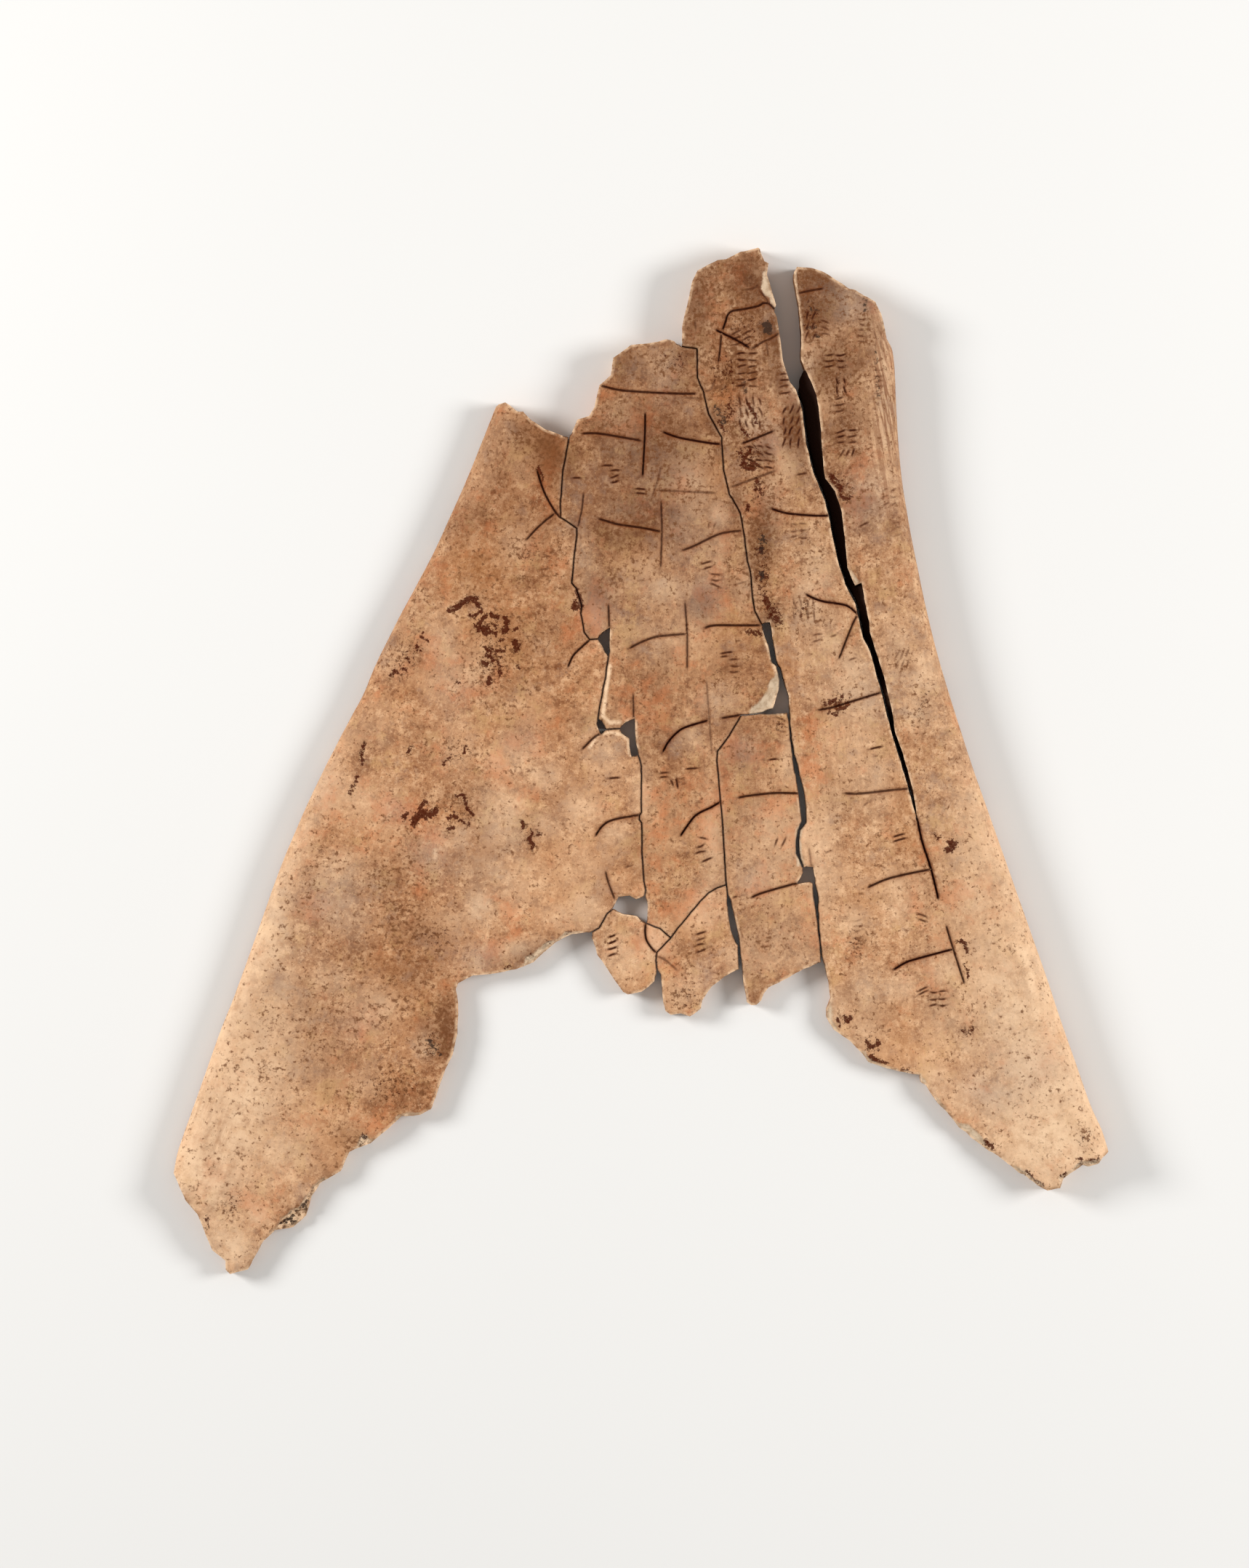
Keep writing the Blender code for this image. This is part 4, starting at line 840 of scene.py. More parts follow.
class Group:
    """A node group with named sockets, built once and used in several materials."""

    def __init__(self, name: str, kind: str, inputs: dict[str, Socket],
                 outputs: dict[str, Socket]) -> None:
        """Make the empty group.

        Args:
            name: The group's name.
            kind: ShaderNodeTree or GeometryNodeTree.
            inputs: The sockets that go in.
            outputs: The sockets that come out.
        """
        self.tree = bpy.data.node_groups.new(name, kind)
        for way, sockets in (("INPUT", inputs), ("OUTPUT", outputs)):
            for label, socket in sockets.items():
                self.tree.interface.new_socket(name=label, in_out=way, socket_type=socket.value)
        self.wiring = Wiring(self.tree)
        self.entry = self.wiring.node("NodeGroupInput")
        self.exit = self.wiring.node("NodeGroupOutput")

    def given(self, name: str) -> NodeSocket:
        """A socket that comes into the group."""
        return self.entry.outputs[name]

    def give(self, name: str, value: NodeSocket) -> None:
        """Join a result to a socket that leaves the group."""
        self.tree.links.new(value, self.exit.inputs[name])

    def identifier(self, name: str) -> str:
        """The identifier of an input, as a modifier wants it."""
        return next(s.identifier for s in self.tree.interface.items_tree
                    if s.name == name and s.in_out == "INPUT")

    def run(self, piece: Object, **values: object) -> None:
        """Run the group on a piece, with values by socket name, and keep what it makes."""
        modifier = piece.modifiers.new(self.tree.name, "NODES")
        modifier.node_group = self.tree
        for name, value in values.items():
            modifier[self.identifier(name)] = value
        freeze(piece)

    def placed(self, wiring: Wiring, **values: object) -> Node:
        """Put the group into a material.

        Args:
            wiring: The material's wiring.
            values: What goes into the sockets, by name.

        Returns:
            The group's node.
        """
        made = wiring.node("ShaderNodeGroup", node_tree=self.tree)
        for name, value in values.items():
            wiring.feed(made.inputs[name], value)
        return made


class BoneGroups:
    """The surface effects that the bone's materials share."""

    rust: Colour = (0.55, 0.182, 0.068, 1.0)
    ash: Colour = (0.300, 0.188, 0.132, 1.0)
    straw: Colour = (0.58, 0.342, 0.150, 1.0)
    stain_level: float = 0.62

    def __init__(self) -> None:
        """Build every group."""
        self.tone = self.make_tone()
        self.fibres = self.make_fibres()
        self.pores = self.make_pores()
        self.speckle = self.make_speckle()
        self.soiling = self.make_soiling()

    def make_tone(self) -> Group:
        """Uneven colour of old bone, from broad clouds down to fine speckle."""
        group = Group("Bone tone", "ShaderNodeTree",
                      {"Place": Socket.PLACE, "Light": Socket.COLOUR, "Middle": Socket.COLOUR,
                       "Dark": Socket.COLOUR},
                      {"Color": Socket.COLOUR})
        w, place = group.wiring, group.given("Place")
        cloud = w.noise(place, 0.10, 8.0, 0.84)
        colour = w.mix(w.step(cloud, 0.34, 0.50), group.given("Dark"), group.given("Middle"))
        colour = w.mix(w.step(cloud, 0.50, 0.64), colour, group.given("Light"))
        mottle = w.noise(w.shifted(place, (23.0, 41.0, 9.0)), 0.34, 6.0, 0.78)
        broad = w.noise(place, 0.035, 3.0, 0.6)
        fine = w.noise(place, 1.3, 4.0, 0.75)
        for noise, low, high, share in ((broad, 0.46, 0.34, 0.45), (mottle, 0.48, 0.35, 0.80),
                                        (fine, 0.47, 0.35, 0.62)):
            colour = w.mix(w.step(noise, low, high, 0.0, share), colour, group.given("Dark"))
        for noise, low, high, share in ((broad, 0.54, 0.66, 0.35), (mottle, 0.52, 0.65, 0.80),
                                        (fine, 0.54, 0.65, 0.50)):
            colour = w.mix(w.step(noise, low, high, 0.0, share), colour, group.given("Light"))
        hue = w.noise(place, 0.08, 6.0, 0.74)
        straw = w.noise(w.shifted(place, (61.0, 17.0, 5.0)), 0.14, 5.0, 0.74)
        for noise, low, high, share, tint in (
                (hue, 0.51, 0.66, 0.62, self.rust), (hue, 0.47, 0.33, 0.58, self.ash),
                (straw, 0.52, 0.68, 0.5, self.straw)):
            colour = w.mix(w.step(noise, low, high, 0.0, share), colour, tint)
        group.give("Color", colour)
        return group

    def make_speckle(self) -> Group:
        """Small dark specks, crowded where the bone is dirty and under the painted shade."""
        group = Group("Specks", "ShaderNodeTree",
                      {"Place": Socket.PLACE, "Color": Socket.COLOUR, "Speck": Socket.COLOUR,
                       "Dirt": Socket.NUMBER, "Amount": Socket.NUMBER},
                      {"Color": Socket.COLOUR})
        w, place = group.wiring, group.given("Place")
        crowd = w.step(w.noise(place, 0.2, 4.0, 0.65), 0.40, 0.64, 0.0, 0.07)
        crowd = w.plus(crowd, w.times(group.given("Dirt"), 0.115))
        grain = w.plus(w.noise(place, 1.05, 5.0, 0.66), crowd)
        found = w.times(w.step(grain, 0.58, 0.73), group.given("Amount"))
        group.give("Color", w.mix(found, group.given("Color"), group.given("Speck")))
        return group

    def make_fibres(self) -> Group:
        """Fine streaks that fan out from the neck."""
        group = Group("Bone fibres", "ShaderNodeTree",
                      {"Fan": Socket.PLACE, "Color": Socket.COLOUR, "Streak": Socket.COLOUR,
                       "Amount": Socket.NUMBER},
                      {"Color": Socket.COLOUR, "Height": Socket.NUMBER})
        w = group.wiring
        along = w.stretched(group.given("Fan"), (1.0, 0.16, 1.0))
        streak = w.noise(along, 1.2, 4.0, 0.66)
        hair = w.noise(along, 5.5, 2.0, 0.5)
        amount = w.times(w.step(streak, 0.56, 0.36), group.given("Amount"))
        group.give("Color", w.mix(amount, group.given("Color"), group.given("Streak")))
        group.give("Height", w.plus(streak, w.times(hair, 0.5)))
        return group

    def make_pores(self) -> Group:
        """Tiny dark pits."""
        group = Group("Bone pores", "ShaderNodeTree",
                      {"Place": Socket.PLACE, "Color": Socket.COLOUR, "Pit": Socket.COLOUR,
                       "Scale": Socket.NUMBER, "Amount": Socket.NUMBER},
                      {"Color": Socket.COLOUR, "Height": Socket.NUMBER})
        w, place = group.wiring, group.given("Place")
        cells = w.node("ShaderNodeTexVoronoi", place, None, group.given("Scale")).outputs[0]
        where = w.step(w.noise(place, 0.35, 3.0, 0.6), 0.46, 0.66)
        pit = w.times(w.step(cells, 0.26, 0.10), where, group.given("Amount"))
        group.give("Color", w.mix(pit, group.given("Color"), group.given("Pit")))
        group.give("Height", w.math("SUBTRACT", 1.0, pit))
        return group

    def make_soiling(self) -> Group:
        """A stain broken up by the surface: crust, ground-in earth, soot or a bleached patch."""
        group = Group("Soiling", "ShaderNodeTree",
                      {"Place": Socket.PLACE, "Color": Socket.COLOUR, "Stain": Socket.COLOUR,
                       "Mask": Socket.NUMBER, "Grain": Socket.NUMBER, "Cover": Socket.NUMBER,
                       "Softness": Socket.NUMBER},
                      {"Color": Socket.COLOUR, "Mask": Socket.NUMBER})
        w, place = group.wiring, group.given("Place")
        rough = w.noise(place, group.given("Grain"), 5.0, 0.72)
        reach = w.plus(group.given("Mask"), w.math("MULTIPLY_ADD", rough, 4.0, -2.0))
        low = w.math("SUBTRACT", self.stain_level, group.given("Softness"))
        high = w.plus(self.stain_level, group.given("Softness"))
        found = w.node("ShaderNodeMapRange", reach, low, high, 0.0, 1.0,
                       interpolation_type="SMOOTHSTEP").outputs[0]
        present = w.step(group.given("Mask"), 0.02, 0.22)
        found = w.times(found, present, group.given("Cover"))
        group.give("Color", w.mix(found, group.given("Color"), group.given("Stain")))
        group.give("Mask", found)
        return group


@dataclass(frozen=True)
class BoneFinish:
    """Colours and surface of one piece's bone."""

    name: str
    light: Colour
    middle: Colour
    dark: Colour
    specks: float = 0.75
    fibre: float = 0.20
    roughness: float = 0.58


class Finish(Enum):
    """The finishes of the pieces."""

    WARM = BoneFinish("warm", (0.715, 0.420, 0.230, 1), (0.462, 0.222, 0.103, 1),
                      (0.185, 0.062, 0.023, 1), 0.85, 0.18)
    DUSKY = BoneFinish("dusky", (0.615, 0.352, 0.187, 1), (0.388, 0.184, 0.085, 1),
                       (0.160, 0.055, 0.022, 1), 0.85, 0.22)
    PALE = BoneFinish("pale", (0.755, 0.466, 0.266, 1), (0.492, 0.254, 0.126, 1),
                      (0.200, 0.074, 0.029, 1), 0.85, 0.22)


@dataclass(frozen=True)
class Palette:
    """Colours that every piece shares."""

    # Cream is pale bone, and also the colour of the painted highlights on rims and pale patches
    cream_and_highlight: Colour = (0.85, 0.585, 0.37, 1.0)
    fresh: Colour = (0.68, 0.52, 0.36, 1.0)
    dense: Colour = (0.50, 0.355, 0.23, 1.0)
    crust: Colour = (0.060, 0.007, 0.001, 1.0)
    earth: Colour = (0.145, 0.052, 0.018, 1.0)
    soot: Colour = (0.030, 0.017, 0.012, 1.0)
    ochre: Colour = (0.50, 0.200, 0.060, 1.0)
    shade: Colour = (0.42, 0.37, 0.36, 1.0)
    film: Colour = (0.50, 0.385, 0.295, 1.0)
    # The crack colour also paints the shade along the joins
    crack: Colour = (0.022, 0.003, 0.001, 1.0)
    halo: Colour = (0.20, 0.056, 0.016, 1.0)
    ink: Colour = (0.034, 0.007, 0.002, 1.0)
    pit: Colour = (0.14, 0.060, 0.028, 1.0)
    spongy: Colour = (0.30, 0.155, 0.078, 1.0)
    # The cell colour also paints the shade deep in the open crack
    cell: Colour = (0.028, 0.012, 0.008, 1.0)
    scorch: Colour = (0.045, 0.022, 0.012, 1.0)


class Surface(Wiring):
    """A new material and the wiring in it."""

    specular: float = 0.04
    bump_strength: float = 0.75

    def __init__(self, name: str) -> None:
        """Make the material, with its pattern's places in millimetres on the piece."""
        self.material = bpy.data.materials.new(name)
        self.material.use_nodes = True
        super().__init__(self.material.node_tree)
        self.shader = self.tree.nodes["Principled BSDF"]
        self.shader.inputs["Specular IOR Level"].default_value = self.specular
        coordinates = self.node("ShaderNodeTexCoord").outputs["Object"]
        self.place = self.stretched(coordinates, (1.0 / MM, 1.0 / MM, 1.0 / MM))

    def cloud(self, scale: float, detail: float, rough: float) -> NodeSocket:
        """Cloudy noise over the piece."""
        return self.noise(self.place, scale, detail, rough)

    def finish(self, colour: NodeSocket, roughness: NodeSocket, height: NodeSocket,
               relief: float) -> Material:
        """Join the results to the shader.

        Args:
            colour: Base colour.
            roughness: Roughness.
            height: Height of the fine relief.
            relief: Depth of that relief, in millimetres.

        Returns:
            The finished material.
        """
        bump = self.node("ShaderNodeBump", self.bump_strength, relief * MM, None, height)
        for name, value in (("Base Color", colour), ("Roughness", roughness),
                            ("Normal", bump.outputs[0])):
            self.tree.links.new(value, self.shader.inputs[name])
        return self.material


class BoneMaterials:
    """Makes the materials of the face, the breaks, the back and the crumbs."""

    def __init__(self, groups: BoneGroups, palette: Palette) -> None:
        """Keep the shared groups and colours."""
        self.groups = groups
        self.palette = palette
        self.made: dict[str, Material] = {}

    def bare(self, w: Surface, finish: BoneFinish, fibre: float, scale: float,
             pits: float) -> tuple[NodeSocket, NodeSocket]:
        """Clean bone with its clouds, fibres and pores.

        Args:
            w: The material.
            finish: The bone's colours.
            fibre: How strong its fibres are.
            scale: How many pores stand on a millimetre.
            pits: How dark they are.

        Returns:
            The colour, and the height of the fine relief.
        """
        tone = self.groups.tone.placed(w, Place=w.place, Light=finish.light,
                                       Middle=finish.middle, Dark=finish.dark)
        fibres = self.groups.fibres.placed(w, Fan=w.attribute("fan", "Vector"),
                                           Color=tone.outputs["Color"], Streak=finish.dark,
                                           Amount=fibre)
        pores = self.groups.pores.placed(w, Place=w.place, Color=fibres.outputs["Color"],
                                         Pit=self.palette.pit, Scale=scale, Amount=pits)
        return pores.outputs["Color"], w.plus(fibres.outputs["Height"], pores.outputs["Height"])

    def soiled(self, w: Surface, colour: NodeSocket, stain: Stain, tint: Colour, grain: float,
               cover: float, softness: float) -> tuple[NodeSocket, NodeSocket]:
        """Lay one kind of stain over a colour.

        Args:
            w: The material.
            colour: The colour so far.
            stain: The kind of stain.
            tint: Its colour.
            grain: How fine its edge is.
            cover: How much it hides.
            softness: How soft its edge is.

        Returns:
            The new colour and the stain's mask.
        """
        made = self.groups.soiling.placed(
            w, Place=w.place, Color=colour, Stain=tint, Mask=w.attribute(stain.value),
            Grain=grain, Cover=cover, Softness=softness)
        return made.outputs["Color"], made.outputs["Mask"]

    def fracture(self, w: Surface) -> NodeSocket:
        """Colour of bone laid open by a chip: pale where dense, pitted where spongy."""
        p, cloud = self.palette, w.cloud(0.6, 4.0, 0.7)
        dense = w.mix(w.step(cloud, 0.36, 0.60), p.dense, p.fresh)
        walls = w.mix(w.step(cloud, 0.40, 0.56), p.spongy, p.cream_and_highlight)
        cells = w.step(w.cloud(0.75, 3.0, 0.6), 0.52, 0.42)
        return w.mix(w.attribute("spongy"), dense, w.mix(w.times(cells, 0.93), walls, p.cell))

    def face(self, finish: BoneFinish) -> Material:
        """The written face."""
        p, w = self.palette, Surface("bone_face_" + finish.name)
        colour, height = self.bare(w, finish, finish.fibre, 1.1, 0.75)
        grain = w.cloud(0.3, 6.0, 0.74)
        uneven = w.step(grain, 0.30, 0.62, 0.45, 1.0)
        dirt, shade = w.attribute(Stain.DIRT.value), w.attribute(Stain.SHADE.value)
        # Ochre and film are stains; the border value is a painted highlight on the rounded natural
        # borders, and the pale value mixes paler bone with painted light
        for mask, share, tint in ((Stain.OCHRE.value, 0.62, p.ochre),
                                  (Stain.FILM.value, 0.62, p.film), ("border", 0.85, p.cream_and_highlight),
                                  (Stain.PALE.value, 1.0, p.cream_and_highlight)):
            colour = w.mix(w.times(w.attribute(mask), uneven, share), colour, tint)
        band = w.noise(w.stretched(w.attribute("fan", "Vector"), (1.0, 0.10, 1.0)), 0.9, 4.0, 0.62)
        band = w.times(w.step(band, 0.44, 0.60), w.attribute(Stain.STREAK.value), 0.72)
        colour = w.mix(band, colour, p.halo)
        # Painted shade: the shade value multiplies the colour darker
        colour = w.mix(w.times(shade, w.step(grain, 0.2, 0.6, 0.75, 1.0)), colour, p.shade,
                       "MULTIPLY")
        colour = w.mix(w.times(dirt, uneven, 0.30), colour, p.earth)
        # Specks also crowd under the painted shade
        specks = self.groups.speckle.placed(
            w, Place=w.place, Color=colour, Speck=p.earth, Amount=finish.specks,
            Dirt=w.plus(dirt, w.times(shade, 0.4)))
        colour = specks.outputs["Color"]
        colour, crust = self.soiled(w, colour, Stain.CRUST, p.crust, 1.5, 0.93, 0.14)
        colour, _ = self.soiled(w, colour, Stain.SOOT, p.soot, 1.2, 0.85, 0.25)
        colour = w.mix(w.attribute("chip"), colour, self.fracture(w))
        rim = w.mix(w.step(w.cloud(0.5, 4.0, 0.65), 0.40, 0.58), p.spongy, p.cream_and_highlight)
        # The arris is the pale broken edge, the joint value paints shade along the gap between
        # pieces, and the halo is the brown ring beside the cuts
        for name, share, tint in (("arris", 0.75, rim), ("joint", 0.85, p.crack),
                                  ("halo", 0.72, p.halo)):
            colour = w.mix(w.times(w.attribute(name), share), colour, tint)
        colour = w.mix(w.attribute("stroke"), colour, p.ink)
        colour = w.mix(w.attribute("crack"), colour, p.crack)
        height = w.plus(height, w.cloud(2.2, 4.0, 0.6), w.times(crust, 1.5))
        rough = w.step(w.cloud(0.8, 3.0, 0.6), 0.3, 0.7, finish.roughness - 0.10,
                       finish.roughness + 0.10)
        return w.finish(colour, w.plus(rough, w.times(crust, 0.2)), height, 0.07)

    def broken(self) -> Material:
        """The breaks: pale rims and brown spongy bone between them, with painted shade on the walls
        at joins and down the open crack.
        """
        p, w = self.palette, Surface("bone_break")
        tone = self.groups.tone.placed(w, Place=w.place, Light=p.cream_and_highlight,
                                       Middle=Finish.WARM.value.middle, Dark=p.spongy)
        pores = self.groups.pores.placed(w, Place=w.place, Color=tone.outputs["Color"],
                                         Pit=p.earth, Scale=1.6, Amount=1.0)
        colour, mask = self.soiled(w, pores.outputs["Color"], Stain.DIRT, p.earth, 0.9, 0.8, 0.2)
        # Painted shade: walls near a neighbour darken to crack colour, as the narrow gap would look
        colour = w.mix(w.times(w.attribute("joint"), 0.8), colour, p.crack)
        # Painted shade: the walls lining the open crack darken to near black with depth
        colour = w.mix(w.attribute("ledge"), colour, p.cell)
        height = w.plus(pores.outputs["Height"], w.cloud(1.6, 4.0, 0.65))
        return w.finish(colour, w.step(mask, 0.0, 1.0, 0.62, 0.8), height, 0.25)

    def back(self) -> Material:
        """The scraped back with its scorched hollows."""
        w = Surface("bone_back")
        colour, height = self.bare(w, Finish.WARM.value, 0.5, 0.9, 0.9)
        scorch = w.times(w.attribute("scorch"),
                         w.step(w.cloud(0.9, 4.0, 0.7), 0.25, 0.6, 0.45, 1.0))
        return w.finish(w.mix(scorch, colour, self.palette.scorch),
                        w.step(scorch, 0.0, 1.0, 0.55, 0.8), height, 0.09)

    def crumbs(self) -> Material:
        """Dry earth that stands on the face."""
        w = Surface("earth_crumbs")
        cloud = w.cloud(1.2, 4.0, 0.7)
        colour = w.mix(w.step(cloud, 0.52, 0.72, 0.0, 0.5), self.palette.crust, self.palette.halo)
        return w.finish(colour, w.step(cloud, 0.3, 0.7, 0.75, 0.95), w.cloud(3.0, 3.0, 0.6), 0.1)

    def get(self, region: Region, finish: Finish) -> Material:
        """The material of one region, made the first time it is asked for."""
        key = region.name + (finish.name if region is Region.FACE else "")
        if key not in self.made:
            makers: dict[Region, Callable[[], Material]] = {
                Region.FACE: lambda: self.face(finish.value),
                Region.BREAK: self.broken,
                Region.BACK: self.back,
            }
            self.made[key] = makers[region]()
        return self.made[key]


@dataclass(frozen=True)
class Groove:
    """One kind of groove, in millimetres. Its mark tells the material where it is."""

    mark: str
    half_width: float
    depth: float
    halo: float
    step: float
    raggedness: float = 1.3


class GrooveTree:
    """Geometry Nodes that cut a groove into a face along paths."""

    def __init__(self) -> None:
        """Build the tree."""
        self.group = Group(
            "Cut grooves", "GeometryNodeTree",
            {"Geometry": Socket.SHAPE, "Paths": Socket.OBJECT, "Width": Socket.NUMBER,
             "Depth": Socket.NUMBER, "Ragged": Socket.NUMBER, "Mark": Socket.WORDS,
             "Halo": Socket.NUMBER, "Face": Socket.MATERIAL},
            {"Geometry": Socket.SHAPE})
        g, w = self.group, self.group.wiring
        paths = w.node("GeometryNodeObjectInfo", g.given("Paths")).outputs["Geometry"]
        here = w.node("GeometryNodeInputPosition").outputs[0]
        flat = w.vector("MULTIPLY", here, (1.0, 1.0, 0.0))
        near = w.node("GeometryNodeProximity", paths, None, flat, target_element="EDGES")
        nearest = w.node("GeometryNodeSampleNearest", paths, flat, domain="POINT").outputs[0]
        darkness = w.node("GeometryNodeSampleIndex", paths, w.named("darkness"),
                          nearest).outputs[0]
        face = w.named("face")
        scaled = w.vector("MULTIPLY", here, (1.0 / MM, 1.0 / MM, 1.0 / MM))
        jitter = w.math("SUBTRACT", w.noise(scaled, 1.4, 2.0), 0.5)
        spread = w.math("MULTIPLY_ADD", jitter, g.given("Ragged"), 0.9)
        half = w.times(g.given("Width"), spread, w.math("MULTIPLY_ADD", darkness, 0.45, 0.55))
        share = w.math("SUBTRACT", 1.0, w.math("DIVIDE", near.outputs["Distance"], half))
        cut = w.times(w.step(share, 0.0, 0.75), face)
        drop = w.times(cut, darkness, g.given("Depth"), -1.0)
        moved = w.node("GeometryNodeSetPosition", g.given("Geometry"), None, None,
                       w.node("ShaderNodeCombineXYZ", 0.0, 0.0, drop).outputs[0]).outputs[0]
        mark = w.times(w.step(share, 0.05, 0.55), w.math("MINIMUM", darkness, 1.0))
        stored = w.node("GeometryNodeStoreNamedAttribute", moved, None, g.given("Mark"),
                        w.times(mark, face), data_type="FLOAT", domain="POINT").outputs[0]
        ring = w.math("SUBTRACT", 1.0, w.math("DIVIDE", near.outputs["Distance"], g.given("Halo")))
        ring = w.math("MAXIMUM", w.named("halo"), w.times(w.step(ring, 0.0, 1.0), darkness))
        stored = w.node("GeometryNodeStoreNamedAttribute", stored, None, "halo",
                        ring, data_type="FLOAT", domain="POINT").outputs[0]
        real = w.node("GeometryNodeRealizeInstances", stored).outputs[0]
        region = w.node("GeometryNodeInputMaterialIndex").outputs[0]
        is_face = w.node("FunctionNodeCompare", data_type="INT", operation="EQUAL")
        w.tree.links.new(region, is_face.inputs[2])
        done = w.node("GeometryNodeSetMaterial", real, is_face.outputs[0], g.given("Face"))
        g.give("Geometry", done.outputs[0])

    def cut(self, piece: Object, paths: Object, groove: Groove) -> None:
        """Cut one kind of groove into a piece along paths."""
        self.group.run(piece, Paths=paths, Width=groove.half_width * MM, Depth=groove.depth * MM,
                       Ragged=groove.raggedness, Mark=groove.mark, Halo=groove.halo * MM,
                       Face=piece.data.materials[Region.FACE.value])


@dataclass(frozen=True)
class Earth:
    """Crumbs of earth: how many on a square millimetre of full crust, and their radii there."""

    density: float = 5.0
    smallest: float = 0.05
    largest: float = 0.17


class CrumbTree:
    """Geometry Nodes that strew crumbs of earth where a face carries crust."""

    def __init__(self) -> None:
        """Build the tree."""
        self.group = Group(
            "Strew crumbs", "GeometryNodeTree",
            {"Geometry": Socket.SHAPE, "Density": Socket.NUMBER, "Smallest": Socket.NUMBER,
             "Largest": Socket.NUMBER, "Seed": Socket.WHOLE, "Material": Socket.MATERIAL},
            {"Geometry": Socket.SHAPE})
        g, w = self.group, self.group.wiring
        place = w.vector("MULTIPLY", w.node("GeometryNodeInputPosition").outputs[0],
                         (1.0 / MM, 1.0 / MM, 1.0 / MM))
        rough = w.step(w.noise(place, 0.9, 4.0, 0.7), 0.42, 0.62)
        density = w.times(w.step(w.named(Stain.CRUST.value), 0.35, 1.0), rough, w.named("face"),
                          g.given("Density"))
        points = w.node("GeometryNodeDistributePointsOnFaces", g.given("Geometry"))
        w.tree.links.new(density, points.inputs["Density"])
        w.tree.links.new(g.given("Seed"), points.inputs["Seed"])
        size = w.node("FunctionNodeRandomValue", data_type="FLOAT")
        w.tree.links.new(g.given("Smallest"), size.inputs[2])
        w.tree.links.new(g.given("Largest"), size.inputs[3])
        turn = w.node("FunctionNodeRandomValue", (0.0, 0.0, 0.0), (6.3, 6.3, 6.3),
                      data_type="FLOAT_VECTOR").outputs[0]
        lump = w.node("GeometryNodeMeshIcoSphere", 1.0, 1).outputs[0]
        bumps = w.node("FunctionNodeRandomValue", (-0.3, -0.3, -0.3), (0.3, 0.3, 0.3),
                       data_type="FLOAT_VECTOR").outputs[0]
        lump = w.node("GeometryNodeSetPosition", lump, None, None, bumps).outputs[0]
        laid = w.node("GeometryNodeInstanceOnPoints", points.outputs["Points"], None, lump, None,
                      None, turn, size.outputs[1]).outputs[0]
        real = w.node("GeometryNodeRealizeInstances", laid).outputs[0]
        g.give("Geometry", w.node("GeometryNodeSetMaterial", real, None,
                                  g.given("Material")).outputs[0])

    def strew(self, piece: Object, name: str, material: Material, earth: Earth,
              seed: int) -> Object:
        """Strew crumbs over a copy of a piece's face.

        Args:
            piece: The piece that carries them.
            name: Name of the new piece.
            material: What they are made of.
            earth: Their sizes and density.
            seed: Which pattern.

        Returns:
            The crumbs, as one plain mesh.
        """
        crumbs = new_object(name, piece.data.copy())
        self.group.run(crumbs, Density=earth.density / MM**2, Smallest=earth.smallest * MM,
                       Largest=earth.largest * MM, Seed=seed, Material=material)
        crumbs.data.materials.clear()
        crumbs.data.materials.append(material)
        return crumbs


def freeze(piece: Object) -> None:
    """Turn what a piece's modifiers make into its plain mesh."""
    depsgraph = bpy.context.evaluated_depsgraph_get()
    mesh = bpy.data.meshes.new_from_object(
        piece.evaluated_get(depsgraph), preserve_all_data_layers=True, depsgraph=depsgraph)
    piece.modifiers.clear()
    old, piece.data = piece.data, mesh
    mesh.name = piece.name
    bpy.data.meshes.remove(old)


